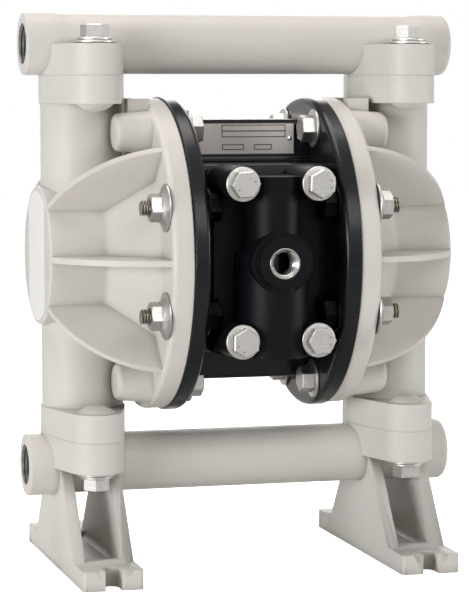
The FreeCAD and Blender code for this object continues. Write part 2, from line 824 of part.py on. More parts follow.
def valve_gasket():
    """Sheet between valve block and centre body, open round the valve plate."""
    sheet = block((-block_half_width, -block_back_y, axis_height - body_half_height + gasket_inset),
                  (block_half_width, -body_half_depth, axis_height + body_half_height - gasket_inset))
    window = block((-plate_half_width + 1, -block_back_y - 1, axis_height - plate_half_height + 1),
                   (plate_half_width - 1, -body_half_depth + 1, axis_height + plate_half_height - 1))
    sheet = sheet.cut(window)
    for x, z in block_bolt_places():
        place = Vec(x, -block_back_y - 1, axis_height + z)
        sheet = sheet.cut(rod(screw_radius + hole_gap, place, ALONG_Y, gasket_thickness + 2))
    return sheet


def spool_place(z):
    return Vec(0, -spool_axis_y, axis_height + z)


def valve_block():
    """Moulded valve block: plate, four bolt bosses, stepped spool housing and inlet boss."""
    plate_front = block_back_y + block_plate_thickness
    low = axis_height - body_half_height
    high = axis_height + housing_top
    face = outline([
        (-block_half_width, low, block_corner), (block_half_width, low, block_corner),
        (block_half_width, high, block_corner), (-block_half_width, high, block_corner),
    ], lambda x, z: Vec(x, -block_back_y, z))
    pieces = [face.extrude(Vec(0, -block_plate_thickness, 0))]
    depth = block_face_y - block_back_y
    for x, z in block_bolt_places():
        pieces.append(rod(block_boss_radius, Vec(x, -block_back_y, axis_height + z), ALONG_Y * -1, depth))
    pieces.append(spool_housing(housing_lower_radius, -body_half_height, housing_step))
    pieces.append(spool_housing(housing_upper_radius, housing_step, housing_top))
    base_y = -inlet_reach + inlet_base_drop
    inlet = Vec(0, -inlet_reach, axis_height)
    pieces.append(rod(inlet_boss_radius, inlet, ALONG_Y, inlet_reach - plate_front))
    pieces.append(rod(inlet_base_radius, Vec(0, base_y, axis_height), ALONG_Y, -base_y - plate_front))
    body = fuse_all(pieces)
    return body.cut(fuse_all(block_hollows()))


def spool_housing(radius, low, high):
    """Half-round vertical housing of one spool bore, with its back on the plate."""
    round_part = rod(radius, spool_place(low), ALONG_Z, high - low)
    back = block((-radius, -spool_axis_y, axis_height + low), (radius, -block_back_y, axis_height + high))
    return round_part.fuse(back)


def block_hollows():
    """Bores, valve chamber, air way and screw holes of the valve block."""
    plug_top = -body_half_height + plug_thickness
    cuts = [rod(large_piston_radius, spool_place(-body_half_height - 1), ALONG_Z, body_half_height + 1)]
    bore_top = housing_top - cap_end_wall
    cuts.append(rod(small_piston_radius, spool_place(-1), ALONG_Z, bore_top + 1))
    half = insert_cavity_half_height
    cuts.append(block((-insert_half_width - 1, -spool_axis_y, axis_height - half),
                      (insert_half_width + 1, -block_back_y + 1, axis_height + half)))
    inlet = Vec(0, -inlet_reach, axis_height)
    cuts.append(rod(inlet_insert_radius, inlet, ALONG_Y, inlet_insert_length))
    cuts.append(rod(inlet_thread_radius - 1, inlet, ALONG_Y, inlet_reach - spool_axis_y))
    below = spool_place(-body_half_height - 1)
    cuts.append(rod(large_piston_radius + plug_lip, below, ALONG_Z, plug_top + body_half_height + 1))
    for x, z in block_bolt_places():
        seat = Vec(x, -block_face_y, axis_height + z)
        cuts.append(rod(screw_radius + hole_gap, seat, ALONG_Y, block_depth + 1))
        spot = seat - ALONG_Y * inlet_stand_out
        cuts.append(rod(block_boss_radius + fit_gap, spot, ALONG_Y, inlet_stand_out))
    pocket_length = head_flange_height + hex_height + head_pocket_gap
    for angle in cap_bolt_angles():
        place = cap_bolt_place(angle, 0)
        if place.y > 0 or has_boss(angle):
            continue
        for sign in (left_x, right_x):
            base = Vec(sign * (air_cap_back_x - pocket_length), place.y, place.z)
            cuts.append(rod(cap_head_flange_radius + head_pocket_gap, base, ALONG_X * sign, cut_length))
    return cuts


def block_bolts():
    """Four flange screws through the valve block into the centre body."""
    length = block_face_y - body_half_depth + block_screw_depth
    screws = []
    for x, z in block_bolt_places():
        seat = Vec(x, -block_face_y, axis_height + z)
        screws.append(flange_screw(seat, ALONG_Y, length, block_head_flange_radius, 15))
    return Part.Compound(screws)


def inlet_insert():
    """Metal insert with the air inlet thread."""
    return ring(inlet_insert_radius - thread_gap, inlet_thread_radius, Vec(0, -inlet_reach, axis_height),
                ALONG_Y, inlet_insert_length)


def spool_end_plug():
    """Plug that closes the large spool bore from below."""
    radius = large_piston_radius + plug_lip - slide_gap
    return rod(radius, spool_place(-body_half_height), ALONG_Z, plug_thickness)


def spool_sizes():
    """Lowest and highest point of the spool at rest, about the rod axis."""
    low = -body_half_height + plug_thickness + spool_travel + seat_gap
    high = housing_top - cap_end_wall - spool_travel - seat_gap
    return low, high


def valve_spool():
    """Differential spool: large piston below, small piston above, collars that carry the insert."""
    low, high = spool_sizes()
    large = large_piston_radius - slide_gap
    small = small_piston_radius - slide_gap
    collar = insert_half_height + slide_gap
    collar_end = collar + spool_collar_length
    profile = [
        (0, low),
        (large, low),
        (large, low + piston_length),
        (spool_stem_radius, low + piston_length),
        (spool_stem_radius, -collar_end),
        (spool_collar_radius, -collar_end),
        (spool_collar_radius, -collar),
        (spool_stem_radius, -collar),
        (spool_stem_radius, collar),
        (spool_collar_radius, collar),
        (spool_collar_radius, collar_end),
        (spool_stem_radius, collar_end),
        (spool_stem_radius, high - piston_length),
        (small, high - piston_length),
        (small, high),
        (0, high),
    ]
    spool = turned_z([(r, axis_height + z) for r, z in profile], 0, -spool_axis_y)
    for radius, middle in seal_places():
        spool = spool.cut(seal(radius + 1, radius - spool_seal_depth, middle, spool_seal_width))
    return spool


def seal_places():
    """Radius and mid-height of the spool's two seals."""
    low, high = spool_sizes()
    return [(large_piston_radius - slide_gap, low + piston_length / 2),
            (small_piston_radius - slide_gap, high - piston_length / 2)]


def seal(outer, inner, middle, width):
    return ring(outer, inner, spool_place(middle - width / 2), ALONG_Z, width)


def spool_seals():
    """Lip seals in the grooves of the spool."""
    return Part.Compound([seal(radius, radius - spool_seal_depth, middle, spool_seal_width)
                          for radius, middle in seal_places()])


def valve_insert():
    """Shoe that the spool slides over the valve plate."""
    back_y = -spool_axis_y + spool_stem_radius + slide_gap
    low = (-insert_half_width, back_y, axis_height - insert_half_height)
    high = (insert_half_width, -body_half_depth - slide_gap, axis_height + insert_half_height)
    shoe = block(low, high)
    pocket = block((-5, high[1] - 4, axis_height - 4), (5, high[1] + 1, axis_height + 4))
    return shoe.cut(pocket)


def name_plate():
    """Thin plate on the front of the upper neck."""
    half = plate_length / 2
    return block((-half, -neck_half_depth - plate_sheet, axis_height + plate_low_z),
                 (half, -neck_half_depth, axis_height + plate_high_z))


def plate_rivets():
    """Rivets at the ends of the name plate."""
    middle = axis_height + (plate_low_z + plate_high_z) / 2
    rivet = rod(rivet_radius, Vec(0, -neck_half_depth - plate_sheet, middle), ALONG_Y * -1, 0.5)
    reach = plate_length / 2 - rivet_inset
    return spread(rivet, [Vec(-reach, 0, 0), Vec(reach, 0, 0)])


def exhaust_muffler():
    """Screwed-in muffler with a ridged body."""
    start = body_half_depth + exhaust_boss_height
    end = inlet_reach
    stem = rod(exhaust_radius - thread_gap, Vec(0, start - 12, axis_height), ALONG_Y, 13)
    nut = hexagon(muffler_hex, Vec(0, start, axis_height), ALONG_Y, muffler_hex_height)
    body_start = start + muffler_hex_height
    pitch = (end - body_start) / muffler_ridge_count
    profile = [(0, body_start - 1)]
    low = muffler_radius - muffler_ridge
    for number in range(muffler_ridge_count):
        y = body_start + pitch * number
        profile.append((low, y if number else body_start - 1))
        profile.append((low, y + pitch * 0.4))
        profile.append((muffler_radius, y + pitch * 0.5))
        profile.append((muffler_radius, y + pitch * 0.9))
    profile.append((low, end))
    profile.append((0, end))
    core = turned_y(profile, 0, axis_height)
    return fuse_all([stem, nut, core])


def manifold_tube(z):
    """Straight tube with thicker ends, closed at the right."""
    reach = manifold_half_length
    face = outline([
        (-reach, 0), (-reach, collar_radius, 1.0), (-reach + collar_length, collar_radius, 2.0),
        (-reach + collar_length + collar_taper, tube_radius, 2.0),
        (reach - collar_length - collar_taper, tube_radius, 2.0),
        (reach - collar_length, collar_radius, 2.0), (reach, collar_radius, 3.0), (reach, 0),
    ], lambda x, r: Vec(x, 0, z + r))
    return face.revolve(Vec(0, 0, z), ALONG_X, 360)


def manifold_bore(z):
    """Main bore with the threaded port at the left."""
    start = Vec(-manifold_half_length - 1, 0, z)
    main = rod(tube_bore, start, ALONG_X, 2 * manifold_half_length + 1 - closed_end_wall)
    return main.fuse(rod(port_radius, start, ALONG_X, port_depth + 1))


def outlet_manifold():
    """Upper tube with two-bolt flanges and the room of the upper balls."""
    pieces = [manifold_tube(tube_high)]
    for sign in (left_x, right_x):
        pieces.append(oval_flange(sign * column_offset, joint_high, tube_high))
    body = fuse_all(pieces)
    cuts = [manifold_bore(tube_high)]
    for sign in (left_x, right_x):
        base = Vec(sign * column_offset, 0, joint_high - 1)
        cuts.append(rod(ball_chamber_radius, base, ALONG_Z, ball_room + 1))
    for place in ear_places(joint_high - 1):
        cuts.append(rod(screw_radius + hole_gap, place, ALONG_Z, cut_length))
    return body.cut(fuse_all(cuts))


def whole_foot(x):
    """One foot: slotted base, two tapering walls, and an open way with a sunk floor between them."""
    half_width = foot_width / 2
    gap_half = half_width - foot_wall
    low = outline([
        (-half_width, -foot_half_length, foot_corner), (half_width, -foot_half_length, foot_corner),
        (half_width, foot_half_length, foot_corner), (-half_width, foot_half_length, foot_corner),
    ], lambda a, b: Vec(x + a, b, 0))
    base = low.extrude(Vec(0, 0, foot_base))
    wall = outline([
        (-foot_wall_half_length, foot_base - 1), (foot_wall_half_length, foot_base - 1),
        (foot_wall_half_length, foot_base), (foot_wall_top_half_length, tube_low),
        (-foot_wall_top_half_length, tube_low), (-foot_wall_half_length, foot_base),
    ], lambda y, z: Vec(x - half_width, y, z))
    walls = wall.extrude(Vec(foot_width, 0, 0))
    reach = foot_half_length + 1
    tunnel = block((x - gap_half, -reach, foot_base), (x + gap_half, reach, tube_low + 1))
    inner = foot_wall_half_length - foot_bar
    floor = foot_base - foot_pocket_depth
    trough = outline([
        (-gap_half, floor, foot_pocket_corner), (gap_half, floor, foot_pocket_corner),
        (gap_half, foot_base + 1), (-gap_half, foot_base + 1),
    ], lambda a, z: Vec(x + a, -inner, z))
    cuts = [manifold_tube(tube_low), tunnel, trough.extrude(Vec(0, 2 * inner, 0))]
    slot_half = foot_slot_width / 2
    for sign in (-1, 1):
        end_y = sign * (foot_half_length - foot_slot_depth + slot_half)
        cuts.append(rod(slot_half, Vec(x, end_y, -1), ALONG_Z, foot_base + 2))
        near, far = sorted((end_y, sign * reach))
        cuts.append(block((x - slot_half, near, -1), (x + slot_half, far, foot_base + 1)))
    head_room = hex_across_flats / math.sqrt(3) + head_room_gap
    for place in ear_places(tube_low - head_room_height):
        cuts.append(rod(max(washer_radius, head_room) + fit_gap, place, ALONG_Z, head_room_height))
    return base.fuse(walls).cut(fuse_all(cuts))


def foot_ends():
    """The two ends of every foot, where the slots are."""
    inner = foot_half_length - foot_slot_depth - foot_slot_bar
    reach = foot_half_length + 1
    ends = [block((-manifold_half_length, y, -1), (manifold_half_length, y + reach - inner, foot_base + 1))
            for y in (-reach, inner)]
    return Part.Compound(ends)


def foot():
    """Right foot without its slotted ends."""
    return whole_foot(column_offset).cut(foot_ends())


def foot_toes():
    """Slotted ends of the right foot."""
    return whole_foot(column_offset).common(foot_ends())


def inlet_manifold():
    """Lower tube with two-bolt flanges and seat pockets."""
    pieces = [manifold_tube(tube_low)]
    for sign in (left_x, right_x):
        pieces.append(oval_flange(sign * column_offset, tube_low, joint_low))
    body = fuse_all(pieces)
    cuts = [manifold_bore(tube_low)]
    for sign in (left_x, right_x):
        base = Vec(sign * column_offset, 0, tube_low)
        cuts.append(rod(tube_bore - 1, base, ALONG_Z, cut_length))
        cuts.append(rod(seat_radius + fit_gap, Vec(base.x, 0, joint_low - seat_thickness), ALONG_Z, 10))
    groove = ring_groove(joint_low)
    cuts.append(groove)
    cuts.append(mirrored(groove))
    for place in ear_places(tube_low - 1):
        cuts.append(rod(screw_radius + hole_gap, place, ALONG_Z, cut_length))
    return body.cut(fuse_all(cuts))


def manifold_bolts(head_z, up):
    """Four flange screws through washers; up is the way the shank points."""
    along = ALONG_Z * up
    length = washer_thickness + collar_radius + ear_screw_depth - ear_screw_gap
    return Part.Compound([flange_screw(place, along, length, manifold_head_flange_radius, 10)
                          for place in ear_places(head_z)])


def manifold_washers(base_z):
    """Four flat washers."""
    washer = ring(washer_radius, screw_radius + hole_gap, Vec(0, 0, base_z), ALONG_Z, washer_thickness)
    return spread(washer, ear_places(0))


def seats(top_z):
    """Ball seats of one level."""
    base = top_z - seat_thickness
    seat = turned_z([
        (seat_bore, base), (seat_radius, base), (seat_radius, top_z), (seat_bore, top_z),
    ], column_offset, 0)
    return Part.Compound([mirrored(seat), seat])


def seat_rings(joint_z):
    """Rings in the joint face round the seats of one level."""
    center_z = joint_z - seat_ring_thickness / 2 - fit_gap / 2
    ring_right = Part.makeTorus(seat_ring_radius, seat_ring_thickness / 2, Vec(column_offset, 0, center_z))
    return Part.Compound([mirrored(ring_right), ring_right])


def ball(sign, joint_z):
    """Check ball resting on its seat."""
    return Part.makeSphere(ball_radius, Vec(sign * column_offset, 0, joint_z + ball_height))


def save(name, shape):
    shape.exportStep("parts/" + name + ".step")


def save_pair(name, right):
    """A right-hand piece and its mirror image on the left."""
    save(name + "_right", right)
    save(name + "_left", mirrored(right))


def save_both(name, right):
    """A right-hand piece and its mirror image, as two solids of one node."""
    save(name, Part.Compound([mirrored(right), right]))


os.makedirs("parts", exist_ok=True)
save("inlet_manifold", inlet_manifold())
save_pair("foot", foot())
save_pair("foot_toes", foot_toes())
save("outlet_manifold", outlet_manifold())
save_pair("fluid_cap", fluid_cap())
save_pair("air_cap", air_cap())
save_pair("cap_inserts", cap_inserts())
save_pair("cap_bolts", cap_bolts())
save_pair("cap_nuts", cap_nuts())
save_pair("air_cap_screws", air_cap_screws())
save_pair("diaphragm", diaphragm())
save("center_body", center_body())
save("name_plate", name_plate())
save("name_plate_rivets", plate_rivets())
save("valve_block", valve_block())
save("valve_gasket", valve_gasket())
save("valve_block_bolts", block_bolts())
save("air_inlet_insert", inlet_insert())
save("valve_plate", valve_plate())
save("valve_insert", valve_insert())
save("valve_spool", valve_spool())
save("spool_seals", spool_seals())
save("spool_end_plug", spool_end_plug())
save("exhaust_muffler", exhaust_muffler())
save("connecting_rod", connecting_rod())
save_both("air_side_washers", clamp_washer(-1))
save_both("fluid_side_washers", clamp_washer(1))
save_both("diaphragm_screws", diaphragm_screw())
save("rod_bushings", rod_bushings())
save("rod_seals", rod_seals())
save("pilot_rod", pilot_rod())
save("pilot_sleeve", pilot_sleeve())
save("inlet_seats", seats(joint_low))
save("outlet_seats", seats(joint_high))
save("inlet_seat_rings", seat_rings(joint_low))
save("outlet_seat_rings", seat_rings(joint_high))
for side, sign in (("left", left_x), ("right", right_x)):
    save("inlet_ball_" + side, ball(sign, joint_low))
    save("outlet_ball_" + side, ball(sign, joint_high))
save("outlet_manifold_bolts", manifold_bolts(tube_high + washer_thickness, -1))
save("outlet_manifold_washers", manifold_washers(tube_high))
save("inlet_manifold_bolts", manifold_bolts(tube_low - washer_thickness, 1))
save("inlet_manifold_washers", manifold_washers(tube_low - washer_thickness))
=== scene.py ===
import bpy
import bmesh
import math
from mathutils import Matrix, Vector


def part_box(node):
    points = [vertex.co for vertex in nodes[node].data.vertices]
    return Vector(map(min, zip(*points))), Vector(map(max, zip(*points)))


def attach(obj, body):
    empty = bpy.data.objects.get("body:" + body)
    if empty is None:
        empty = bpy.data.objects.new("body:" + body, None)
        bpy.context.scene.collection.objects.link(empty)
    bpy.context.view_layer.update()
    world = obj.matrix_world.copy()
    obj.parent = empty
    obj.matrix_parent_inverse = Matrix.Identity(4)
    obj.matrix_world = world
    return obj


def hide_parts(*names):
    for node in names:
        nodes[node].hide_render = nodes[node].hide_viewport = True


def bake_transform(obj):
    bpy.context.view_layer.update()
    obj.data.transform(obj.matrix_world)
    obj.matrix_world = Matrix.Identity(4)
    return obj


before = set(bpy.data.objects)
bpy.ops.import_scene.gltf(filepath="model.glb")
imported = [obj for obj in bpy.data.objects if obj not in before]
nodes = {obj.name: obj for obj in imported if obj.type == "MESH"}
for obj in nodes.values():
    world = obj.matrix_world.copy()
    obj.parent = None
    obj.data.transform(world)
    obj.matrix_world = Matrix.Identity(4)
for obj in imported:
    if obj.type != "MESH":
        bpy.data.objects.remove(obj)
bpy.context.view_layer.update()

# Camera: well back with a long lens, a little to the left of the air inlet and just above
# the rod axis, so both fluid caps show and the open ports of the manifolds face the viewer.
camera_azimuth = math.radians(-15.223)
camera_elevation = math.radians(5.022)
camera_distance = 1.33699
camera_target = Vector((-0.001312, 0, 0.137349))
focal_length_pixels = 2522.98
picture_height_pixels = 600

towards_camera = Vector((
    math.sin(camera_azimuth) * math.cos(camera_elevation),
    -math.cos(camera_azimuth) * math.cos(camera_elevation),
    math.sin(camera_elevation),
))
camera_data = bpy.data.cameras.new("camera")
camera_data.sensor_width = 36
camera_data.lens = camera_data.sensor_width * focal_length_pixels / picture_height_pixels
camera = bpy.data.objects.new("camera", camera_data)
camera.location = camera_target + towards_camera * camera_distance
camera.rotation_euler = towards_camera.to_track_quat("Z", "Y").to_euler()
bpy.context.scene.collection.objects.link(camera)
bpy.context.scene.camera = camera

# Studio: a warm soft box overhead, one high in front, one behind and a low one at each side, the
# left one the stronger. Floor and backdrop are white, and metal mirrors that white.
overhead_power = 15.5
front_power = 8.2
left_power = 19.5
right_power = 8
rear_power = 8
warm_white = (1.0, 0.93, 0.90)
plain_white = (1.0, 0.975, 0.955)
cool_white = (0.975, 1.0, 0.995)
ambient_strength = 0.05
floor_half = 4


def soft_box(name, place, width, height, power, tint):
    """Area lamp that looks at the middle of the pump."""
    lamp = bpy.data.lights.new(name, "AREA")
    lamp.shape = "RECTANGLE"
    lamp.size = width
    lamp.size_y = height
    lamp.energy = power
    lamp.color = tint
    holder = bpy.data.objects.new(name, lamp)
    holder.location = place
    holder.rotation_euler = (Vector(place) - camera_target).to_track_quat("Z", "Y").to_euler()
    bpy.context.scene.collection.objects.link(holder)


soft_box("overhead_light", (-0.15, 0.20, 1.5), 1.2, 0.9, overhead_power, warm_white)
soft_box("front_light", (0.25, -1.45, 1.00), 1.2, 0.6, front_power, plain_white)
soft_box("left_light", (-1.50, -0.92, 0.24), 1.0, 0.6, left_power, cool_white)
soft_box("right_light", (1.5, -0.60, 0.22), 0.9, 0.6, right_power, cool_white)
soft_box("rear_light", (0.45, 1.50, 0.75), 1.2, 0.6, rear_power, plain_white)


class Shades:
    """A material under construction: makes nodes and joins them."""

    def __init__(self, name):
        self.material = bpy.data.materials.new(name)
        self.material.use_nodes = True
        self.tree = self.material.node_tree
        self.shader = self.tree.nodes["Principled BSDF"]
        self.output = self.tree.nodes["Material Output"]
        self.place = self.node("ShaderNodeTexCoord").outputs["Object"]

    def node(self, kind, **settings):
        made = self.tree.nodes.new(kind)
        for key, value in settings.items():
            setattr(made, key, value)
        return made

    def join(self, source, target):
        self.tree.links.new(source, target)

    def noise(self, per_metre, detail=3, roughness=0.5):
        """Grey noise with about that many spots to the metre."""
        made = self.node("ShaderNodeTexNoise")
        made.inputs["Scale"].default_value = per_metre
        made.inputs["Detail"].default_value = detail
        made.inputs["Roughness"].default_value = roughness
        self.join(self.place, made.inputs["Vector"])
        return made.outputs["Fac"]

    def spread(self, source, low, high):
        """The grey value stretched so that 0.3 to 0.7 runs from low to high."""
        made = self.node("ShaderNodeMapRange")
        made.inputs["From Min"].default_value = 0.3
        made.inputs["From Max"].default_value = 0.7
        made.inputs["To Min"].default_value = low
        made.inputs["To Max"].default_value = high
        self.join(source, made.inputs["Value"])
        return made.outputs["Result"]

    def blend(self, factor, first, second):
        """Colour between first and second."""
        made = self.node("ShaderNodeMix", data_type="RGBA")
        self.join(factor, made.inputs["Factor"])
        for socket, colour in ((made.inputs["A"], first), (made.inputs["B"], second)):
            if isinstance(colour, tuple):
                socket.default_value = (*colour, 1)
            else:
                self.join(colour, socket)
        return made.outputs["Result"]

    def crevice(self, reach):
        """Ambient occlusion grey, 1 in the open and falling towards 0 in corners and grooves, to
        paint shade.
        """
        made = self.node("ShaderNodeAmbientOcclusion", samples=8)
        made.inputs["Distance"].default_value = reach
        return made.outputs["AO"]

    def relief(self, height, depth, edge=0):
        """Bump from a grey height, over edges rounded by the given radius."""
        made = self.node("ShaderNodeBump")
        made.inputs["Strength"].default_value = 1
        made.inputs["Distance"].default_value = depth
        self.join(height, made.inputs["Height"])
        if edge:
            rounding = self.node("ShaderNodeBevel", samples=6)
            rounding.inputs["Radius"].default_value = edge
            self.join(rounding.outputs["Normal"], made.inputs["Normal"])
        self.join(made.outputs["Normal"], self.shader.inputs["Normal"])

    def colour(self, source):
        self.join(source, self.shader.inputs["Base Color"])

    def roughness(self, source):
        self.join(source, self.shader.inputs["Roughness"])

    def finish(self, **sockets):
        for name, value in sockets.items():
            self.shader.inputs[name.replace("_", " ")].default_value = value
        return self.material


floor_shades = Shades("white_floor")
sweep = floor_shades.noise(2)
floor_shades.colour(floor_shades.blend(sweep, (0.88, 0.88, 0.88), (0.90, 0.90, 0.90)))
looking = floor_shades.node("ShaderNodeLightPath")
glow = floor_shades.node("ShaderNodeEmission")
glow.inputs["Color"].default_value = (1, 1, 1, 1)
floor_shades.join(looking.outputs["Is Camera Ray"], glow.inputs["Strength"])
both = floor_shades.node("ShaderNodeAddShader")
floor_shades.join(floor_shades.shader.outputs["BSDF"], both.inputs[0])
floor_shades.join(glow.outputs["Emission"], both.inputs[1])
floor_shades.join(both.outputs["Shader"], floor_shades.output.inputs["Surface"])
floor_material = floor_shades.finish(Roughness=0.8)

floor_mesh = bpy.data.meshes.new("floor")
floor_signs = ((-1, -1), (1, -1), (1, 1), (-1, 1))
floor_corners = [(x * floor_half, y * floor_half, 0) for x, y in floor_signs]
floor_mesh.from_pydata(floor_corners, [], [(0, 1, 2, 3)])
floor_mesh.materials.append(floor_material)
floor = bpy.data.objects.new("floor", floor_mesh)
bpy.context.scene.collection.objects.link(floor)

world = bpy.data.worlds.new("studio")
world.use_nodes = True
bpy.context.scene.world = world
backdrop = world.node_tree.nodes["Background"]
backdrop.inputs["Color"].default_value = (1, 1, 1, 1)
ray = world.node_tree.nodes.new("ShaderNodeLightPath")
seen = ray.outputs["Is Camera Ray"]
for other in ("Is Glossy Ray", "Is Transmission Ray"):
    either = world.node_tree.nodes.new("ShaderNodeMath")
    either.operation = "MAXIMUM"
    world.node_tree.links.new(seen, either.inputs[0])
    world.node_tree.links.new(ray.outputs[other], either.inputs[1])
    seen = either.outputs["Value"]
ambient = world.node_tree.nodes.new("ShaderNodeMapRange")
ambient.inputs["To Min"].default_value = ambient_strength
ambient.inputs["To Max"].default_value = 1
world.node_tree.links.new(seen, ambient.inputs["Value"])
world.node_tree.links.new(ambient.outputs["Result"], backdrop.inputs["Strength"])

bpy.context.scene.view_settings.view_transform = "Standard"

# Inlet manifold: one moulding of natural polypropylene, a straight tube with a threaded port at
# the left, a closed right end, a two-bolt flange under each fluid cap, and two slotted feet that
# are moulded on. The thread in the port is painted dark grey as painted shade inside the bore.
tube_radius = 0.0161
port_radius = 0.0105
port_depth = 0.020
port_thread_pitch = 0.001814
port_thread_depth = 0.0009
port_sleeve_wall = 0.0001
port_mouth_edge = 0.0002
thread_flank_slope = 1.6
thread_root_share = 0.3
crease_angle = math.radians(32)
round_steps = 48
rings_per_pitch = 6

plastic = Shades("natural_polypropylene")
cloud = plastic.spread(plastic.noise(35, 4), 0, 1)
warm = plastic.blend(cloud, (0.640, 0.618, 0.580), (0.672, 0.652, 0.618))
speck = plastic.spread(plastic.noise(1500, 2, 0.7), 0, 1)
grained = plastic.blend(speck, warm, (0.598, 0.578, 0.542))
# Painted shade: the plastic darkens in corners and creases, where the occlusion grey is low.
corner_shade = plastic.spread(plastic.crevice(0.010), 0, 1)
plastic.colour(plastic.blend(corner_shade, (0.34, 0.318, 0.282), grained))
plastic.roughness(plastic.spread(plastic.noise(300), 0.38, 0.50))
plastic.relief(plastic.noise(1800, 3, 0.6), 0.00006, edge=0.0009)
polypropylene = plastic.finish(
    Subsurface_Weight=0.12,
    Subsurface_Scale=0.004,
    Specular_IOR_Level=0.3,
)

# Painted shade: the port thread is coloured dark grey for the shade deep in the bore.
port_shades = Shades("shaded_port_thread")
bore_shade_mottle = port_shades.spread(port_shades.noise(400, 4), 0, 1)
port_shades.colour(port_shades.blend(bore_shade_mottle, (0.085, 0.085, 0.08), (0.20, 0.20, 0.19)))
port_shades.roughness(port_shades.spread(port_shades.noise(700), 0.30, 0.42))
port_shades.relief(port_shades.noise(1800), 0.00003)
shaded_thread = port_shades.finish()


def paint(name, material):
    """Gives a carried-over solid its material."""
    node = nodes[name]
    if not node.data.materials:
        node.data.materials.append(material)
    for place in range(len(node.data.materials)):
        node.data.materials[place] = material
    node.data.shade_smooth()
    node.data.set_sharp_from_angle(angle=crease_angle)


def skin(rings, closed=True):
    """Mesh through rings of points, each ring with as many points as the next."""
    made = bmesh.new()
    loops = [[made.verts.new(point) for point in ring] for ring in rings]
    for low, high in zip(loops, loops[1:]):
        for index in range(len(low)):
            made.faces.new((low[index - 1], low[index], high[index], high[index - 1]))
    if closed:
        made.faces.new(loops[0][::-1])
        made.faces.new(loops[-1])
    bmesh.ops.recalc_face_normals(made, faces=made.faces)
    return made


def circle(radius, height, steps=round_steps):
    """Ring of points about Z."""
    turns = [2 * math.pi * index / steps for index in range(steps)]
    return [(radius * math.cos(turn), radius * math.sin(turn), height) for turn in turns]


def thread_ring(radius, height, pitch, depth, steps=round_steps):
    """Ring of points whose radius rises and falls as a screw thread does at that height."""
    ring = []
    for index in range(steps):
        phase = (height / pitch - index / steps) % 1
        rise = min(1, max(0, thread_flank_slope * abs(2 * phase - 1) - thread_root_share))
        turn = 2 * math.pi * index / steps
        reach = radius + depth * rise
        ring.append((reach * math.cos(turn), reach * math.sin(turn), height))
    return ring


def stand(seat, along, turn=0):
    """Place of a piece made about Z: its origin at the seat, its Z axis along the given way."""
    facing = Vector(along).to_track_quat("Z", "Y").to_matrix().to_4x4()
    return Matrix.Translation(seat) @ facing @ Matrix.Rotation(turn, 4, "Z")


def build(name, parts, material, body, stands_for=()):
    """One piece from several skins, each with the places where it stands."""
    mesh = bpy.data.meshes.new(name)
    whole = bmesh.new()
    for made, places in parts:
        for place in places:
            copy = made.copy()
            copy.transform(place)
            single = bpy.data.meshes.new("part")
            copy.to_mesh(single)
            copy.free()
            whole.from_mesh(single)
            bpy.data.meshes.remove(single)
        made.free()
    whole.to_mesh(mesh)
    whole.free()
    mesh.materials.append(material)
    mesh.shade_smooth()
    mesh.set_sharp_from_angle(angle=crease_angle)
    piece = bpy.data.objects.new(name, mesh)
    bpy.context.scene.collection.objects.link(piece)
    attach(piece, body)
    if stands_for:
        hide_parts(*stands_for)


def port_thread(name, mouth):
    """Thread that lines a fluid port, running in from its mouth and fading out towards it."""
    outside = port_radius - port_sleeve_wall / 2
    root = port_radius - port_sleeve_wall
    crest = root - port_thread_depth
    count = round(port_depth / port_thread_pitch * rings_per_pitch)
    rings = [circle(outside, port_depth), circle(outside, port_mouth_edge), circle(root, 0)]
    for index in range(count + 1):
        height = port_depth * index / count
        fade = min(1, height / port_thread_pitch)
        ring = thread_ring(crest, height, port_thread_pitch, port_thread_depth)
        if fade < 1:
            plain = circle(root, height)
            ring = [tuple(Vector(a).lerp(Vector(b), 1 - fade)) for a, b in zip(ring, plain)]
        rings.append(ring)
    rings.append(rings[0])
    sleeve = skin(rings, closed=False)
    build(name, [(sleeve, [stand(mouth, (1, 0, 0))])], shaded_thread, "pump_body")


def whole_foot(name, near, far):
    """Foot and its slotted ends as one skin, shaded so that its flat faces look flat."""
    middle = nodes[near]
    joined = middle.modifiers.new("ends", "BOOLEAN")
    joined.operation = "UNION"
    joined.solver = "EXACT"
    joined.object = nodes[far]
    shapes = bpy.context.evaluated_depsgraph_get()
    mesh = bpy.data.meshes.new_from_object(middle.evaluated_get(shapes))
    middle.modifiers.remove(joined)
    mesh.materials.clear()
    mesh.materials.append(polypropylene)
    mesh.shade_smooth()
    mesh.set_sharp_from_angle(angle=crease_angle)
    foot = bpy.data.objects.new(name, mesh)
    bpy.context.scene.collection.objects.link(foot)
    even = foot.modifiers.new("even_flats", "WEIGHTED_NORMAL")
    even.keep_sharp = True
    even.weight = 100
    shapes = bpy.context.evaluated_depsgraph_get()
    foot.data = bpy.data.meshes.new_from_object(foot.evaluated_get(shapes))
    foot.modifiers.remove(even)
    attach(foot, "pump_body")
    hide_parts(near, far)


paint("inlet_manifold", polypropylene)
for side in ("left", "right"):
    whole_foot("moulded_foot_" + side, "foot_" + side, "foot_toes_" + side)
inlet_low, inlet_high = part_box("inlet_manifold")
outlet_low, outlet_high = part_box("outlet_manifold")
inlet_axis_z = inlet_high.z - tube_radius
outlet_axis_z = outlet_low.z + tube_radius
port_thread("inlet_port_thread", Vector((inlet_low.x, 0, inlet_axis_z)))

# Check valves: a hard seat, a rubber seal ring and a rubber ball at each end of both columns.
# The balls are compression moulded and ground, the seats are machined.
ball_shades = Shades("ball_rubber")
cloud = ball_shades.noise(120)
ball_shades.colour(ball_shades.blend(cloud, (0.70, 0.66, 0.56), (0.76, 0.73, 0.64)))
ball_shades.roughness(ball_shades.spread(ball_shades.noise(900), 0.45, 0.6))
ball_shades.relief(ball_shades.noise(2200), 0.00003)
ball_rubber = ball_shades.finish()

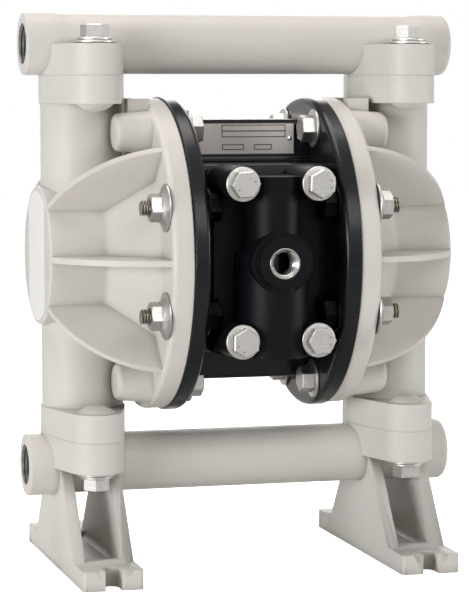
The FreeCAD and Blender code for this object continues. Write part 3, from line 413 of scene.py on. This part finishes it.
rubber_shades = Shades("black_rubber")
bloom = rubber_shades.noise(200)
rubber_shades.colour(rubber_shades.blend(bloom, (0.018, 0.018, 0.018), (0.032, 0.032, 0.032)))
rubber_shades.roughness(rubber_shades.spread(rubber_shades.noise(700), 0.6, 0.8))
rubber_shades.relief(rubber_shades.noise(2500), 0.00005)
rubber = rubber_shades.finish()

bearing_shades = Shades("bearing_plastic")
cloud = bearing_shades.noise(90)
bearing_shades.colour(bearing_shades.blend(cloud, (0.72, 0.71, 0.66), (0.79, 0.78, 0.74)))
bearing_shades.roughness(bearing_shades.spread(bearing_shades.noise(1200), 0.35, 0.5))
bearing_shades.relief(bearing_shades.noise(2400), 0.00003, edge=0.0003)
bearing_plastic = bearing_shades.finish()

for side in ("left", "right"):
    paint("inlet_ball_" + side, ball_rubber)
    paint("outlet_ball_" + side, ball_rubber)
for level in ("inlet", "outlet"):
    paint(level + "_seats", bearing_plastic)
    paint(level + "_seat_rings", rubber)

# Fluid caps: polypropylene mouldings with a bolt flange, a ribbed dome and a flow column.
# Brass inserts with internal threads are moulded into the ears and the blind bosses.
brass_shades = Shades("turned_brass")
tarnish = brass_shades.noise(400)
brass_shades.colour(brass_shades.blend(tarnish, (0.60, 0.46, 0.20), (0.70, 0.56, 0.28)))
brass_shades.roughness(brass_shades.spread(brass_shades.noise(1500), 0.25, 0.4))
brass_shades.relief(brass_shades.noise(3000), 0.00002)
brass = brass_shades.finish(Metallic=1)

for side in ("left", "right"):
    paint("fluid_cap_" + side, polypropylene)
    paint("cap_inserts_" + side, brass)

# Label on the left end: a bare white paper disc with two straight sides, stuck to the flat end of
# the left fluid cap. Its edge is worn a little round.
label_radius = 0.0335
label_half_width = 0.0207
label_thickness = 0.00012
label_glue_depth = 0.00002
label_edge_width = 0.0002
label_edge_rise = 0.00001
label_steps = 96
cap_end_x = 0.1075

label_shades = Shades("label_paper")
fibre = label_shades.noise(140, 4)
label_shades.colour(label_shades.blend(fibre, (0.80, 0.795, 0.78), (0.85, 0.845, 0.83)))
label_shades.roughness(label_shades.spread(label_shades.noise(900), 0.42, 0.55))
label_shades.relief(label_shades.noise(2600, 4), 0.00001)
label_paper = label_shades.finish()

axis_z = (inlet_high.z + outlet_low.z) / 2
label_rings = []
label_profile = (
    (-label_glue_depth, 0),
    (label_thickness, 0),
    (label_thickness + label_edge_rise, label_edge_width),
)
for lift, inset in label_profile:
    ring = []
    for x, y, height in circle(label_radius - inset, lift, label_steps):
        side_limit = label_half_width - inset
        ring.append((min(side_limit, max(-side_limit, x)), y, height))
    label_rings.append(ring)
label_place = stand(Vector((-cap_end_x, 0, axis_z)), (-1, 0, 0))
build("end_label", [(skin(label_rings), [label_place])], label_paper, "pump_body")

# Diaphragms with the rod that joins them: rubber discs clamped at the rim between the caps, and at
# the centre between two washers on a ground steel rod, which runs in two plastic bearings with lip
# seals. The free ring between the two clamps bends, so each disc is cut in sectors sliced in rings
# there.
steel_shades = Shades("ground_steel")
grind = steel_shades.noise(500)
steel_shades.colour(steel_shades.blend(grind, (0.58, 0.58, 0.57), (0.68, 0.68, 0.67)))
steel_shades.roughness(steel_shades.spread(steel_shades.noise(1800), 0.18, 0.32))
steel_shades.relief(steel_shades.noise(3000), 0.00001)
ground_steel = steel_shades.finish(Metallic=1)

clamped_centre = 0.0365
clamped_rim = 0.0555
sector_count = 16
sector_cuts = 6


def flexing_diaphragm(side):
    """Rubber disc in sectors that meet, each sliced in rings between the clamped centre and rim."""
    disc = nodes["diaphragm_" + side]
    middle = Vector((0, 0, axis_z))
    for number in range(sector_count):
        turn = 2 * math.pi * number / sector_count
        outwards = Vector((0, math.cos(turn), math.sin(turn)))
        planes = []
        for edge in (-1, 1):
            side_turn = turn + edge * math.pi / sector_count
            sideways = Vector((0, -math.sin(side_turn), math.cos(side_turn))) * edge
            planes.append((middle, sideways, True))
        for step in range(sector_cuts + 1):
            reach = clamped_centre + (clamped_rim - clamped_centre) * step / sector_cuts
            planes.append((middle + outwards * reach, outwards, False))
        made = bmesh.new()
        made.from_mesh(disc.data)
        made.transform(disc.matrix_world)
        for place, facing, trims in planes:
            bmesh.ops.bisect_plane(
                made,
                geom=made.verts[:] + made.edges[:] + made.faces[:],
                plane_co=place,
                plane_no=facing,
                clear_outer=trims,
            )
        mesh = bpy.data.meshes.new("diaphragm_sector")
        made.to_mesh(mesh)
        made.free()
        mesh.materials.clear()
        mesh.materials.append(rubber)
        mesh.shade_smooth()
        mesh.set_sharp_from_angle(angle=crease_angle)
        sector = bpy.data.objects.new(f"diaphragm_sector_{side}_{number + 1}", mesh)
        bpy.context.scene.collection.objects.link(sector)
        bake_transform(sector)
        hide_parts("diaphragm_" + side)


for side in ("left", "right"):
    flexing_diaphragm(side)
paint("connecting_rod", ground_steel)
paint("air_side_washers", ground_steel)
paint("fluid_side_washers", polypropylene)
paint("diaphragm_screws", ground_steel)
paint("rod_bushings", bearing_plastic)
paint("rod_seals", rubber)
paint("pilot_rod", ground_steel)
paint("pilot_sleeve", bearing_plastic)

# Air caps and centre body: black glass-filled plastic, moulded with a fine grain and a slight
# gloss. Four screws inside each air chamber hold the caps to the body.
black = Shades("glass_filled_black")
fibre = black.spread(black.noise(900, 4, 0.65), 0, 1)
black.colour(black.blend(fibre, (0.0036, 0.0044, 0.0058), (0.0078, 0.0092, 0.0116)))
black.roughness(black.spread(black.noise(260, 3), 0.21, 0.27))
black.relief(black.noise(2200, 3, 0.6), 0.00001, edge=0.0006)
black_plastic = black.finish(Specular_IOR_Level=0.23)

for side in ("left", "right"):
    paint("air_cap_" + side, black_plastic)
    paint("air_cap_screws_" + side, ground_steel)
paint("center_body", black_plastic)

# Name plate: a thin satin aluminium sheet with black printed rules and empty fields, set back on
# the upper neck of the centre body and held by two domed rivets. Each field is given by its left,
# lower, right and upper side, as shares of the plate's width and height.
plate_rule = 0.00045
plate_ink = 0.00004
plate_fields = (
    (0, 0, 1, 1),
    (0.256, 0.727, 0.908, 0.935),
    (0.256, 0.543, 0.908, 0.750),
    (0.260, 0.152, 0.483, 0.323),
    (0.585, 0.152, 0.768, 0.323),
)

sheet_shades = Shades("plate_aluminium")
satin = sheet_shades.noise(300, 4)
sheet_shades.colour(sheet_shades.blend(satin, (0.63, 0.59, 0.565), (0.69, 0.65, 0.625)))
sheet_shades.roughness(sheet_shades.spread(sheet_shades.noise(900), 0.42, 0.55))
sheet_shades.relief(sheet_shades.noise(2500), 0.00001)
plate_sheet = sheet_shades.finish(Metallic=0.05)

ink_shades = Shades("printed_ink")
ink_film = ink_shades.noise(900)
ink_shades.colour(ink_shades.blend(ink_film, (0.012, 0.012, 0.012), (0.022, 0.022, 0.022)))
ink_shades.roughness(ink_shades.spread(ink_shades.noise(1200), 0.4, 0.55))
printed_ink = ink_shades.finish()

paint("name_plate", plate_sheet)
plate_low, plate_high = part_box("name_plate")
plate_width = plate_high.x - plate_low.x
plate_tall = plate_high.z - plate_low.z


def bar(left, low, right, high):
    """Thin printed bar on the plate's face, from shares of the plate's width and height."""
    near_x = plate_low.x + left * plate_width
    far_x = plate_low.x + right * plate_width
    near_z = plate_low.z + low * plate_tall
    far_z = plate_low.z + high * plate_tall
    corners = [(near_x, near_z), (far_x, near_z), (far_x, far_z), (near_x, far_z)]
    back = [(x, plate_low.y + plate_ink, z) for x, z in corners]
    front = [(x, plate_low.y - plate_ink, z) for x, z in corners]
    return skin([back, front])


def frame_bars(left, low, right, high):
    """Four bars round a field."""
    wide = plate_rule / plate_width
    tall = plate_rule / plate_tall
    return [
        bar(left, low, right, low + tall),
        bar(left, high - tall, right, high),
        bar(left, low, left + wide, high),
        bar(right - wide, low, right, high),
    ]


rules = [(made, [Matrix()]) for field in plate_fields for made in frame_bars(*field)]
build("name_plate_rules", rules, printed_ink, "pump_body")

# Cap screws: eight hexagon flange screws a side, cold formed from steel and bright zinc plated.
# Their heads stand on the inner side of the air caps, with three stamped dots as a grade mark. The
# heads in the recesses beside the valve block are painted near black, as painted shade in the
# recess.
across_flats = 0.0127
half_flats = across_flats / 2
hex_height = 0.0064
head_flange_height = 0.0016
screw_head_height = head_flange_height + hex_height
screw_radius = 0.00397
screw_pitch = 0.00141
thread_depth = 0.00085
chamfer_slope = math.tan(math.radians(28))
chamfer_start = half_flats * 0.97
edge_break = 0.0005
flange_round = 0.0003
hex_root = half_flats * 1.17
screw_point = 0.0004
cap_bolt_circle = 0.07075
cap_head_flange = 0.0099
cap_thread = 0.014
blind_thread = 0.001
blind_gap = 0.0002
head_turn_share = 0.7
block_side_cosine = 0.9
mark_radius = 0.00045
mark_height = 0.00006
mark_steps = 12
cap_mark_circle = 0.0056
cap_mark_count = 3

zinc_shades = Shades("bright_zinc")
stain = zinc_shades.spread(zinc_shades.noise(1000, 5, 0.65), 0, 1)
plating = zinc_shades.blend(stain, (0.45, 0.44, 0.42), (0.69, 0.68, 0.66))
# Painted shade: the zinc is darkened in corners, where heads meet flanges and seats.
corner_shade = zinc_shades.spread(zinc_shades.crevice(0.0015), -0.1, 0.75)
zinc_shades.colour(zinc_shades.blend(corner_shade, (0.20, 0.195, 0.18), plating))
zinc_shades.roughness(zinc_shades.spread(zinc_shades.noise(1200, 4), 0.32, 0.46))
zinc_shades.relief(zinc_shades.noise(2200, 4, 0.7), 0.00002, edge=0.00012)
bright_zinc = zinc_shades.finish(Metallic=1)

# Painted shade: the heads in the recesses beside the valve block are coloured near black.
dull_shades = Shades("shadowed_zinc")
recess_shade_mottle = dull_shades.spread(dull_shades.noise(260, 4), 0, 1)
dull_shades.colour(dull_shades.blend(recess_shade_mottle, (0.003, 0.003, 0.0035), (0.008, 0.008, 0.0085)))
dull_shades.roughness(dull_shades.spread(dull_shades.noise(900, 4), 0.30, 0.42))
dull_shades.relief(dull_shades.noise(2200, 4, 0.7), 0.00004, edge=0.00025)
shadowed_zinc = dull_shades.finish(Metallic=1)

shank_shades = Shades("yellowed_zinc")
yellow = shank_shades.spread(shank_shades.noise(500, 4), 0, 1)
passivate = shank_shades.blend(yellow, (0.50, 0.465, 0.37), (0.76, 0.725, 0.63))
# Painted shade: the thread grooves on the shanks are darkened towards near black.
groove_shade = shank_shades.spread(shank_shades.crevice(0.0012), -0.3, 0.55)
shank_shades.colour(shank_shades.blend(groove_shade, (0.03, 0.026, 0.02), passivate))
shank_shades.roughness(shank_shades.spread(shank_shades.noise(1200, 4), 0.30, 0.44))
shank_shades.relief(shank_shades.noise(2600, 4), 0.00002)
yellow_zinc = shank_shades.finish(Metallic=1)


def hex_reach(index, steps):
    """Distance from the axis to the side of the hexagon at that step."""
    turn = (2 * math.pi * index / steps) % (math.pi / 3) - math.pi / 6
    return half_flats / math.cos(turn)


def hex_ring(height, crown=None, inset=0, steps=round_steps):
    """Ring of points round the hexagon. With a crown height, its corners dip as a chamfer does."""
    ring = []
    for index in range(steps):
        turn = 2 * math.pi * index / steps
        reach = hex_reach(index, steps) * (1 - inset / half_flats)
        level = height
        if crown is not None:
            level = crown - max(0, reach - chamfer_start) * chamfer_slope
        ring.append((reach * math.cos(turn), reach * math.sin(turn), level))
    return ring


def screw_head(flange_radius):
    """Flange and hexagon with a flat top, standing on Z = 0."""
    return skin([
        circle(flange_radius - 0.0002, 0),
        circle(flange_radius, flange_round),
        circle(flange_radius, head_flange_height * 0.75),
        circle(flange_radius - flange_round, head_flange_height * 0.93),
        circle(hex_root, head_flange_height),
        hex_ring(head_flange_height * 1.05),
        hex_ring(screw_head_height - edge_break),
        hex_ring(screw_head_height, inset=edge_break),
    ])


def shank(length, threaded):
    """Screw shank running down from Z = 0, with a rolled thread over its last stretch."""
    start = length - threaded
    rings = [circle(screw_radius, 0), circle(screw_radius, -start)]
    count = round(threaded / screw_pitch * rings_per_pitch)
    for index in range(1, count):
        depth = start + threaded * index / count
        rings.append(thread_ring(screw_radius - thread_depth, -depth, screw_pitch, thread_depth))
    rings.append(circle(screw_radius - thread_depth * 1.1, -length + screw_point))
    rings.append(circle(screw_radius - thread_depth * 2, -length))
    return skin(rings)


# Painted shade: the grade dots are coloured dark for the shade in their stamped hollows.
mark_shades = Shades("shaded_marks")
mark_shade_mottle = mark_shades.noise(900)
mark_shades.colour(mark_shades.blend(mark_shade_mottle, (0.10, 0.09, 0.075), (0.20, 0.18, 0.15)))
mark_shades.roughness(mark_shades.spread(mark_shades.noise(1200), 0.5, 0.7))
shaded_marks = mark_shades.finish(Metallic=0.3)


def grade_dot():
    """Small stamped mark, painted dark as painted shade in the stamping."""
    return skin([
        circle(mark_radius, 0, mark_steps),
        circle(mark_radius, mark_height * 0.6, mark_steps),
        circle(mark_radius * 0.6, mark_height, mark_steps),
    ])


def on_bolt_circle(x, turn):
    """Point on the bolt circle, the turn counted upwards from the front."""
    y = -cap_bolt_circle * math.cos(turn)
    z = axis_z + cap_bolt_circle * math.sin(turn)
    return Vector((x, y, z))


def has_nut(turn):
    """True at front and back, where the screws go through; above and below they end in bosses."""
    return abs(math.cos(turn)) > abs(math.sin(turn))


def beside_block(turn):
    """True for the two screws nearest the front."""
    return math.cos(turn) > block_side_cosine


air_cap_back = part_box("air_cap_right")[0].x
through_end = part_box("cap_bolts_right")[1].x
cap_screw_length = through_end - air_cap_back
bolt_angles = [math.radians(22.5 + 45 * index) for index in range(8)]

for side, sign in (("left", -1), ("right", 1)):
    inwards = (-sign, 0, 0)
    heads = []
    shadowed_heads = []
    through = []
    blind = []
    dots = []
    for turn in bolt_angles:
        seat = on_bolt_circle(sign * air_cap_back, turn)
        shank_places = through if has_nut(turn) else blind
        shank_places.append(stand(seat, inwards))
        head = stand(seat, inwards, turn * head_turn_share)
        if beside_block(turn):
            shadowed_heads.append(head)
            continue
        heads.append(head)
        for step in range(cap_mark_count):
            angle = 2 * math.pi * step / cap_mark_count + turn
            across = Vector((0, math.cos(angle), math.sin(angle))) * cap_mark_circle
            top = seat + Vector(inwards) * screw_head_height
            dots.append(stand(top + across, inwards))
    cap_screws = ["cap_bolts_" + side]
    shanks = [
        (shank(cap_screw_length, cap_thread), through),
        (shank(cap_screw_length - blind_gap, blind_thread), blind),
    ]
    build("cap_flange_bolts_" + side, [(screw_head(cap_head_flange), heads)],
          bright_zinc, "pump_body", cap_screws)
    build("cap_bolt_marks_" + side, [(grade_dot(), dots)], shaded_marks, "pump_body")
    build("cap_bolt_shanks_" + side, shanks, yellow_zinc, "pump_body", cap_screws)
    build("shadowed_bolt_heads_" + side, [(screw_head(cap_head_flange), shadowed_heads)],
          shadowed_zinc, "pump_body", cap_screws)

# Cap nuts: zinc plated hexagon nuts, cold formed with a wide hollow flange that spreads the load on
# the plastic. Four a side, on the screws that go through the front and back of the cap's flange.
nut_low, nut_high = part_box("cap_nuts_right")
nut_height = nut_high.x - nut_low.x
nut_bore = screw_radius + 0.00008
nut_countersink = 0.0007
nut_flange = 0.0120
nut_flange_height = 0.0034
nut_rim_height = 0.0010
nut_cone_start = 0.0012
nut_cone_rings = 6
nut_cone_hollow = 1.8
nut_neck = half_flats * 1.16
nut_turns = {"left": math.radians(47), "right": math.radians(37)}

nut_shades = Shades("polished_zinc")
tint = nut_shades.spread(nut_shades.noise(160, 3), 0, 1)
bright = nut_shades.blend(tint, (0.50, 0.495, 0.48), (0.62, 0.615, 0.60))
# Painted shade: the nut's zinc is darkened in its corners and where hexagon meets flange.
corner_shade = nut_shades.spread(nut_shades.crevice(0.0015), -0.1, 0.75)
nut_shades.colour(nut_shades.blend(corner_shade, (0.16, 0.155, 0.145), bright))
nut_shades.roughness(nut_shades.spread(nut_shades.noise(900, 4), 0.36, 0.48))
nut_shades.relief(nut_shades.noise(900, 2), 0.000003)
polished_zinc = nut_shades.finish(Metallic=1)


def flange_nut():
    """Hollow conical flange and hexagon with a countersunk bore, standing on Z = 0."""
    cone_foot = nut_flange - 0.0004
    rings = [
        circle(nut_bore, 0),
        circle(nut_flange - flange_round, 0),
        circle(nut_flange, flange_round),
        circle(nut_flange, nut_rim_height),
    ]
    for step in range(1, nut_cone_rings + 1):
        along = step / nut_cone_rings
        radius = cone_foot - (cone_foot - nut_neck) * along
        rise = (nut_flange_height - nut_cone_start) * along ** nut_cone_hollow
        rings.append(circle(radius, nut_cone_start + rise))
    rings.append(hex_ring(nut_flange_height + 0.0002))
    rings.append(hex_ring(0, crown=nut_height))
    rings.append(circle(half_flats * 0.94, nut_height))
    rings.append(circle(nut_bore + nut_countersink, nut_height))
    rings.append(circle(nut_bore, nut_height - 0.0006))
    rings.append(rings[0])
    return skin(rings, closed=False)


for side, sign in (("left", -1), ("right", 1)):
    places = []
    for turn in bolt_angles:
        if has_nut(turn):
            seat = on_bolt_circle(sign * nut_low.x, turn)
            places.append(stand(seat, (sign, 0, 0), nut_turns[side]))
    build("cap_flange_nuts_" + side, [(flange_nut(), places)],
          polished_zinc, "pump_body", ["cap_nuts_" + side])

# Outlet manifold: the same polypropylene tube and flanges without feet. Four screws with stamped
# washers hold it down on the fluid caps, and four more hold the inlet manifold from below.
column_x = 0.0836
ear_y = 0.034
washer_radius = 0.0104
washer_height = 0.0015
washer_bore = screw_radius + 0.00035
manifold_head_flange = 0.0087
manifold_screw_length = washer_height + tube_radius + 0.009
hidden_thread = 0.002
manifold_head_turns = [math.radians(turn) for turn in (45, 20, 8, 31)]

paint("outlet_manifold", polypropylene)
port_thread("outlet_port_thread", Vector((outlet_low.x, 0, outlet_axis_z)))


def flat_washer():
    """Stamped washer with rounded outer edges."""
    return skin([
        circle(washer_bore, 0),
        circle(washer_radius - 0.0003, 0),
        circle(washer_radius, 0.0004),
        circle(washer_radius, washer_height - 0.0004),
        circle(washer_radius - 0.0003, washer_height),
        circle(washer_bore, washer_height),
        circle(washer_bore, 0),
    ], closed=False)


for level, face_z, up in (("outlet", outlet_axis_z, 1), ("inlet", inlet_axis_z, -1)):
    outwards = (0, 0, up)
    ears = [Vector((x * column_x, y * ear_y, face_z)) for x in (-1, 1) for y in (-1, 1)]
    washers = [stand(ear, outwards) for ear in ears]
    seats = [ear + Vector(outwards) * washer_height for ear in ears]
    heads = [stand(seat, outwards, turn) for seat, turn in zip(seats, manifold_head_turns)]
    shanks = [stand(seat, outwards) for seat in seats]
    screws = [
        (screw_head(manifold_head_flange), heads),
        (shank(manifold_screw_length, hidden_thread), shanks),
    ]
    build(level + "_flat_washers", [(flat_washer(), washers)],
          bright_zinc, "pump_body", [level + "_manifold_washers"])
    build(level + "_flange_screws", screws,
          bright_zinc, "pump_body", [level + "_manifold_bolts"])

# Valve block: the same black plastic with a duller skin, and the spool and its seals in a stepped
# vertical bore. A ceramic plate and a plastic insert on the spool switch the air. A rubber gasket
# seals the block to the centre body, and four flange screws with two stamped dots each hold it.
block_bolt_x = 0.0196
block_bolt_z = 0.0392
block_head_flange = 0.00865
block_mark_circle = 0.0046
block_head_turns = [math.radians(turn) for turn in (29, 3, 2, 28)]
block_mark_angles = ((200, 250), (215, 20), (25, 335), (20, 338))

alloy_shades = Shades("anodised_aluminium")
dye = alloy_shades.noise(400)
alloy_shades.colour(alloy_shades.blend(dye, (0.030, 0.031, 0.033), (0.045, 0.046, 0.048)))
alloy_shades.roughness(alloy_shades.spread(alloy_shades.noise(1500), 0.25, 0.4))
alloy_shades.relief(alloy_shades.noise(2600), 0.00002)
aluminium = alloy_shades.finish(Metallic=0.6)

ceramic_shades = Shades("lapped_ceramic")
firing = ceramic_shades.noise(200)
ceramic_shades.colour(ceramic_shades.blend(firing, (0.82, 0.81, 0.77), (0.87, 0.86, 0.83)))
ceramic_shades.roughness(ceramic_shades.spread(ceramic_shades.noise(1500), 0.1, 0.2))
ceramic = ceramic_shades.finish()

block_shades = Shades("matt_black")
fibre = block_shades.spread(block_shades.noise(900, 4, 0.65), 0, 1)
block_shades.colour(block_shades.blend(fibre, (0.0022, 0.0026, 0.0036), (0.0048, 0.0055, 0.0072)))
block_shades.roughness(block_shades.spread(block_shades.noise(260, 3), 0.36, 0.46))
block_shades.relief(block_shades.noise(2200, 3, 0.6), 0.00002, edge=0.0006)
matt_black = block_shades.finish(Specular_IOR_Level=0.1)

paint("valve_block", matt_black)
paint("valve_gasket", rubber)
paint("valve_plate", ceramic)
paint("valve_insert", bearing_plastic)
paint("valve_spool", aluminium)
paint("spool_seals", rubber)
paint("spool_end_plug", bearing_plastic)

forwards = (0, -1, 0)
block_screws_low, block_screws_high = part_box("valve_block_bolts")
block_seat_y = block_screws_low.y + screw_head_height + mark_height
block_screw_length = block_screws_high.y - block_seat_y
seats = []
for x in (-block_bolt_x, block_bolt_x):
    for z in (axis_z - block_bolt_z, axis_z + block_bolt_z):
        seats.append(Vector((x, block_seat_y, z)))
heads = [stand(seat, forwards, turn) for seat, turn in zip(seats, block_head_turns)]
shanks = [stand(seat, forwards) for seat in seats]
dots = []
for seat, angles in zip(seats, block_mark_angles):
    for angle in angles:
        turn = math.radians(angle)
        across = Vector((math.cos(turn), 0, math.sin(turn))) * block_mark_circle
        top = seat + Vector(forwards) * screw_head_height
        dots.append(stand(top + across, forwards))
screws = [
    (screw_head(block_head_flange), heads),
    (shank(block_screw_length, hidden_thread), shanks),
]
build("valve_block_screws", screws, bright_zinc, "pump_body", ["valve_block_bolts"])
build("valve_block_screw_marks", [(grade_dot(), dots)], shaded_marks, "pump_body")

# Air inlet: a turned insert with a tapered pipe thread, nickel plated, moulded into the round boss
# on the front of the valve block. Its mouth is countersunk.
inlet_radius = 0.008
inlet_bore = 0.00635
inlet_thread_pitch = 0.00141
inlet_thread_depth = 0.0006
inlet_fit = 0.00005
inlet_edge = 0.0003
inlet_countersink = 0.0007

nickel_shades = Shades("nickel_plate")
silver = nickel_shades.blend(nickel_shades.noise(300), (0.50, 0.49, 0.47), (0.62, 0.61, 0.59))
# Painted shade: the sleeve's thread grooves and corners are darkened towards near black.
groove_shade = nickel_shades.spread(nickel_shades.crevice(0.0016), -0.2, 0.7)
nickel_shades.colour(nickel_shades.blend(groove_shade, (0.07, 0.068, 0.064), silver))
nickel_shades.roughness(nickel_shades.spread(nickel_shades.noise(1200, 4), 0.16, 0.28))
nickel_shades.relief(nickel_shades.noise(2400), 0.00002, edge=0.0002)
nickel = nickel_shades.finish(Metallic=1)


def inlet_sleeve(length):
    """Threaded sleeve with a wide countersunk mouth at Z = 0, running down."""
    outer = inlet_radius - inlet_fit
    crest = inlet_bore - inlet_thread_depth
    threaded = length - inlet_countersink
    rings = [
        circle(outer, -length),
        circle(outer, -inlet_edge),
        circle(outer - inlet_edge, 0),
        circle(inlet_bore + inlet_countersink, 0),
        circle(inlet_bore + 0.0001, -inlet_countersink),
    ]
    count = round(length / inlet_thread_pitch * rings_per_pitch)
    for index in range(1, count):
        height = -inlet_countersink - threaded * index / count
        rings.append(thread_ring(crest, height, inlet_thread_pitch, inlet_thread_depth))
    rings.append(circle(crest, -length))
    rings.append(rings[0])
    return skin(rings, closed=False)


insert_low, insert_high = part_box("air_inlet_insert")
sleeve = inlet_sleeve(insert_high.y - insert_low.y)
sleeve_place = stand(Vector((0, insert_low.y, axis_z)), forwards)
build("air_inlet_sleeve", [(sleeve, [sleeve_place])],
      nickel, "pump_body", ["air_inlet_insert"])

# Rivets: domed steel heads, set through the two ends of the name plate into the neck of the centre
# body once the plate lies on it.
dome_rings = 5
dome_steps = 24
dome_top = math.radians(84)
rivet_low, rivet_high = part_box("name_plate_rivets")
rivet_radius = (rivet_high.z - rivet_low.z) / 2
rivet_height = rivet_high.y - rivet_low.y
rivet_z = (rivet_high.z + rivet_low.z) / 2
dome = []
for step in range(dome_rings + 1):
    lift = dome_top * step / dome_rings
    reach = rivet_radius * math.cos(lift)
    dome.append(circle(reach, rivet_height * math.sin(lift), dome_steps))
rivet_places = []
for x in (rivet_low.x + rivet_radius, rivet_high.x - rivet_radius):
    rivet_places.append(stand(Vector((x, rivet_high.y, rivet_z)), forwards))
build("plate_rivet_heads", [(skin(dome), rivet_places)],
      ground_steel, "pump_body", ["name_plate_rivets"])

# Exhaust muffler: a porous body sintered from plastic grains on a moulded hexagon, screwed into the
# exhaust bore at the back of the centre body.
sinter = Shades("sintered_plastic")
pores = sinter.spread(sinter.noise(1400, 5, 0.75), 0, 1)
sinter.colour(sinter.blend(pores, (0.045, 0.045, 0.045), (0.11, 0.11, 0.11)))
sinter.roughness(sinter.spread(sinter.noise(900), 0.7, 0.9))
sinter.relief(sinter.noise(1400, 5, 0.75), 0.00025, edge=0.0004)
paint("exhaust_muffler", sinter.finish())
